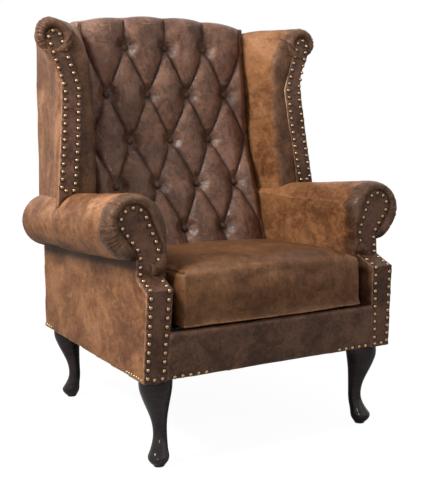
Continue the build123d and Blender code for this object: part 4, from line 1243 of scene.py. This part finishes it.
class WINGCHAIR_OT_facings(bpy.types.Operator):
    """Makes the nailed front panels of the arms and wings and the panel under the cushion"""
    bl_idname = "wing_chair.facings"
    bl_label = "Nailed fronts"

    def execute(self, context):
        for kind, size, lining in (("arm", 2.2 * mm, ["right_knee_block"]), ("wing", 2 * mm, [])):
            bm = soft_copy([f"right_{kind}_facing", *lining], size, rounds=3)
            shade_round_nails(bm, f"right_{kind}_nails")
            dust, = layers(bm, "dust")
            for vertex in bm.verts:
                place = vertex.co
                vertex[dust] = 0.0 if lining else 0.5 * patches(place, 30 * mm)
                inner = 1.2 * mm * bumped(0.3, 0.8, -vertex.normal.x) if lining else 0.0
                wave = ripple(place, (0.7, 40, 5), (0.3, 12, 3))
                vertex.co = place + vertex.normal * (0.7 * mm + wave + inner)
            pair(bm, f"nailed_{kind}_facing", f"{kind}_facing", "front_leather", slot="smooth_leather")
        bm = soft_copy(["front_border"], size=3 * mm, rounds=3)
        shade_round_nails(bm, "base_nails")
        low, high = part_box("front_border")
        for vertex in bm.verts:
            place = vertex.co
            swell = 3 * mm * bumped(low.z, low.z + 40 * mm, place.z)
            swell *= bumped(high.z, high.z - 30 * mm, place.z)
            swell *= bumped(high.x, high.x - 60 * mm, abs(place.x))
            wave = ripple(place, (0.9, 70, 9), (0.4, 22, 2))
            vertex.co = place + vertex.normal * (wave + 0.4 * mm) - Vector((0, swell, 0))
            edge = bumped(high.z - 26 * mm, high.z - 2 * mm, place.z)
            lip = bumped(low.y + 30 * mm, low.y + 6 * mm, place.y)
            vertex.co += Vector((0, -5 * mm * edge, 6 * mm * edge * lip))
        dressed(bm, "padded_front_border", ["front_border"], "front_leather",
                slot="smooth_leather", fill=0.95, passes=5)
        return {"FINISHED"}


class WINGCHAIR_OT_nails(bpy.types.Operator):
    """Sets the domed heads of the upholstery nails"""
    bl_idname = "wing_chair.nails"
    bl_label = "Nail heads"

    def execute(self, context):
        profile = ((0.0, 3.3), (2.0, 2.95), (3.6, 2.0), (4.55, 0.7), (4.8, -0.4))
        raised_by = 0.5 * mm
        crooked = 0.07
        rows = [f"{side}_{part}_nails" for part in ("arm", "wing") for side in ("left", "right")]
        for node in (*rows, "base_nails"):
            bm = bmesh.new()
            for number, (foot, out) in enumerate(nail_seats(node)):
                head = lathed([(radius * mm, height * mm) for radius, height in profile], steps=14)
                closed(head)
                tilt = Vector((sin(7.3 * number), cos(5.1 * number), sin(3.7 * number + 1))) * crooked
                stood(head, foot + out * raised_by, out + tilt)
                take_in(bm, head)
            dressed(bm, f"domed_{node}", [node], "antique_brass", passes=1)
        return {"FINISHED"}


# The legs and the hidden frame

def between(table, height):
    """Width and stand of the leg at a height, on a smooth curve through the table's rows."""
    rows = sorted(table)
    index = max(number for number, row in enumerate(rows[:-1]) if row[0] <= height)
    picked = [rows[max(0, min(len(rows) - 1, index + shift))] for shift in (-1, 0, 1, 2)]
    (_, *before), (low, *start), (high, *end), (_, *after) = picked
    t = (height - low) / (high - low)
    values = []
    for a, b, c, d in zip(before, start, end, after):
        values.append(b + 0.5 * t * (c - a + t * (2 * a - 5 * b + 4 * c - d + t * (3 * (b - c) + d - a))))
    return values


class WINGCHAIR_OT_legs(bpy.types.Operator):
    """Turns and lacquers the cabriole legs"""
    bl_idname = "wing_chair.legs"
    bl_label = "Legs"

    def execute(self, context):
        corner_share = cos(radians(45))
        for end, place, turn_y in (("front", front_leg, -1), ("rear", rear_leg, 1)):
            for side, turn_x in (("left", -1), ("right", 1)):
                name = f"{end}_{side}_leg"
                low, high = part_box(name)
                bm = bmesh.new()
                last = None
                for step in range(leg_rings + 1):
                    width, stand = between(leg_shares, step / leg_rings)
                    outward = stand * leg_width * corner_share
                    spot = Matrix.Translation((
                        turn_x * (place[0] + outward),
                        place[1] + turn_y * outward,
                        low.z + (high.z - low.z) * step / leg_rings,
                    ))
                    ring = bmesh.ops.create_circle(
                        bm, segments=leg_sides, radius=width * leg_width / 2, matrix=spot)["verts"]
                    edges = list(dict.fromkeys(edge for vertex in ring for edge in vertex.link_edges))
                    if last:
                        bmesh.ops.bridge_loops(bm, edges=last + edges)
                    last = edges
                closed(bm)
                dressed(bm, f"lacquered_{name}", [name], "black_lacquer", passes=2)
        return {"FINISHED"}


class WINGCHAIR_OT_inner_frame(bpy.types.Operator):
    """Finishes the wood, springs, webbing and cloths inside and under the chair"""
    bl_idname = "wing_chair.inner_frame"
    bl_label = "Inner frame"

    def execute(self, context):
        slots = {row["node"]: row["material_slot"] for row in frame["record"]["subparts"]}
        for name, piece in frame["nodes"].items():
            if piece.hide_render:
                continue
            piece.data.materials.clear()
            piece.data.materials.append(finish(slots[name]))
        bm = soft_copy(["seat_deck"], size=5 * mm, rounds=2)
        for vertex in bm.verts:
            vertex.co.z -= 1.0 * mm * (0.5 + 0.5 * uneven(vertex.co, 60 * mm, 6))
        dressed(bm, "stitched_deck", ["seat_deck"], "deck_cloth", fill=0.9)
        return {"FINISHED"}


# The stage

def studio_floor():
    """A pale floor that keeps the chair's shadow and is nearly white to the camera."""
    bm = bmesh.new()
    bmesh.ops.create_grid(bm, x_segments=2, y_segments=2, size=12.0)
    floor = as_object(bm, "studio_floor")
    material, tree, shader, place = new_material("pale_floor", Roughness=0.8)
    pale = mixed(tree, cloudy(tree, place, 3.0), (0.50, 0.50, 0.50, 1), (0.53, 0.53, 0.53, 1))
    tree.links.new(pale, shader.inputs["Base Color"])
    path = add_node(tree, "ShaderNodeLightPath")
    glow = add_node(tree, "ShaderNodeEmission", {"Color": (1, 1, 1, 1), "Strength": 1.35})
    blend = add_node(tree, "ShaderNodeMixShader", {
        0: times(tree, path.outputs["Is Camera Ray"], 0.70), 1: shader.outputs[0], 2: glow.outputs[0]})
    tree.links.new(blend.outputs[0], tree.nodes["Material Output"].inputs["Surface"])
    floor.data.materials.append(material)


def white_studio():
    """Surroundings that look white and give only a little light."""
    world = bpy.data.worlds.new("white_studio")
    world.use_nodes = True
    tree = world.node_tree
    path = add_node(tree, "ShaderNodeLightPath").outputs
    seen = plus(tree, plus(tree, path["Is Camera Ray"], path["Is Glossy Ray"]), path["Is Transmission Ray"])
    background = tree.nodes["Background"]
    background.inputs["Color"].default_value = (1, 1, 1, 1)
    tree.links.new(stepped(tree, seen, 0.0, 1.0, 0.30, 1.0), background.inputs["Strength"])
    return world


def lamp(name, place, size, power):
    """A round soft lamp that points at the chair's middle."""
    light = bpy.data.lights.new(name, "AREA")
    light.shape = "DISK"
    light.size = size
    light.energy = power
    holder = bpy.data.objects.new(name, light)
    holder.location = place
    holder.rotation_euler = (Vector((0, 0, 0.55)) - Vector(place)).to_track_quat("-Z", "Y").to_euler()
    bpy.context.scene.collection.objects.link(holder)


def photo_camera(stage):
    """The camera, at the photo's place and angle."""
    turn, dip, roll_angle = stage.camera_turn, stage.camera_dip, stage.camera_roll
    forward = Vector((sin(turn) * cos(dip), cos(turn) * cos(dip), -sin(dip)))
    level = Vector((cos(turn), -sin(turn), 0))
    up = level.cross(forward)
    right = level * cos(roll_angle) - up * sin(roll_angle)
    up = up * cos(roll_angle) + level * sin(roll_angle)
    lens = bpy.data.cameras.new("camera")
    lens.sensor_width = 36.0
    lens.sensor_fit = "AUTO"
    lens.lens = stage.camera_lens
    camera = bpy.data.objects.new("camera", lens)
    turned = Matrix((right, up, -forward)).transposed().to_4x4()
    camera.matrix_world = Matrix.Translation(Vector(stage.camera_place)) @ turned
    bpy.context.scene.collection.objects.link(camera)
    return camera


class WINGCHAIR_OT_stage(bpy.types.Operator):
    """Sets the floor, the lamps, the white surroundings and the camera"""
    bl_idname = "wing_chair.stage"
    bl_label = "Stage"

    def execute(self, context):
        scene = context.scene
        scene.view_settings.view_transform = "Standard"
        studio_floor()
        scene.world = white_studio()
        lamp("key_lamp", (-1.85, -0.4, 2.2), size=0.9, power=69.0)
        lamp("top_lamp", (0.3, -0.4, 3.0), size=1.6, power=6.0)
        lamp("front_lamp", (1.6, -3.0, 1.5), size=1.8, power=6.0)
        lamp("low_lamp", (-1.5, -2.1, 0.7), size=0.5, power=7.0)
        scene.camera = photo_camera(scene.wing_chair_stage)
        return {"FINISHED"}


operators = (
    WINGCHAIR_OT_tufted_back,
    WINGCHAIR_OT_back_buttons,
    WINGCHAIR_OT_seat_cushion,
    WINGCHAIR_OT_arm_pads,
    WINGCHAIR_OT_wing_pads,
    WINGCHAIR_OT_covers,
    WINGCHAIR_OT_facings,
    WINGCHAIR_OT_nails,
    WINGCHAIR_OT_legs,
    WINGCHAIR_OT_inner_frame,
    WINGCHAIR_OT_stage,
)


class WINGCHAIR_PT_sidebar(bpy.types.Panel):
    """Lists the sizes and colours, and the steps that build the chair"""
    bl_idname = "WINGCHAIR_PT_sidebar"
    bl_label = "Wing Chair"
    bl_space_type = "VIEW_3D"
    bl_region_type = "UI"
    bl_category = "Wing Chair"

    def draw(self, context):
        for group in (context.scene.wing_chair_tones, context.scene.wing_chair_padding,
                      context.scene.wing_chair_stage):
            box = self.layout.box()
            for name in group.bl_rna.properties.keys():
                if name not in ("rna_type", "name"):
                    box.prop(group, name)
        for operator in operators:
            self.layout.operator(operator.bl_idname)


classes = (WingChairTones, WingChairPadding, WingChairStage, *operators, WINGCHAIR_PT_sidebar)


def register():
    for kind in classes:
        bpy.utils.register_class(kind)
    bpy.types.Scene.wing_chair_tones = bpy.props.PointerProperty(type=WingChairTones)
    bpy.types.Scene.wing_chair_padding = bpy.props.PointerProperty(type=WingChairPadding)
    bpy.types.Scene.wing_chair_stage = bpy.props.PointerProperty(type=WingChairStage)


def unregister():
    del bpy.types.Scene.wing_chair_stage
    del bpy.types.Scene.wing_chair_padding
    del bpy.types.Scene.wing_chair_tones
    for kind in reversed(classes):
        bpy.utils.unregister_class(kind)


def main():
    """Builds the whole chair and its stage."""
    register()
    for group in (leather_group, grain_group, weave_group):
        group()
    for operator in operators:
        family, name = operator.bl_idname.split(".")
        getattr(getattr(bpy.ops, family), name)()


if __name__ == "__main__":
    main()
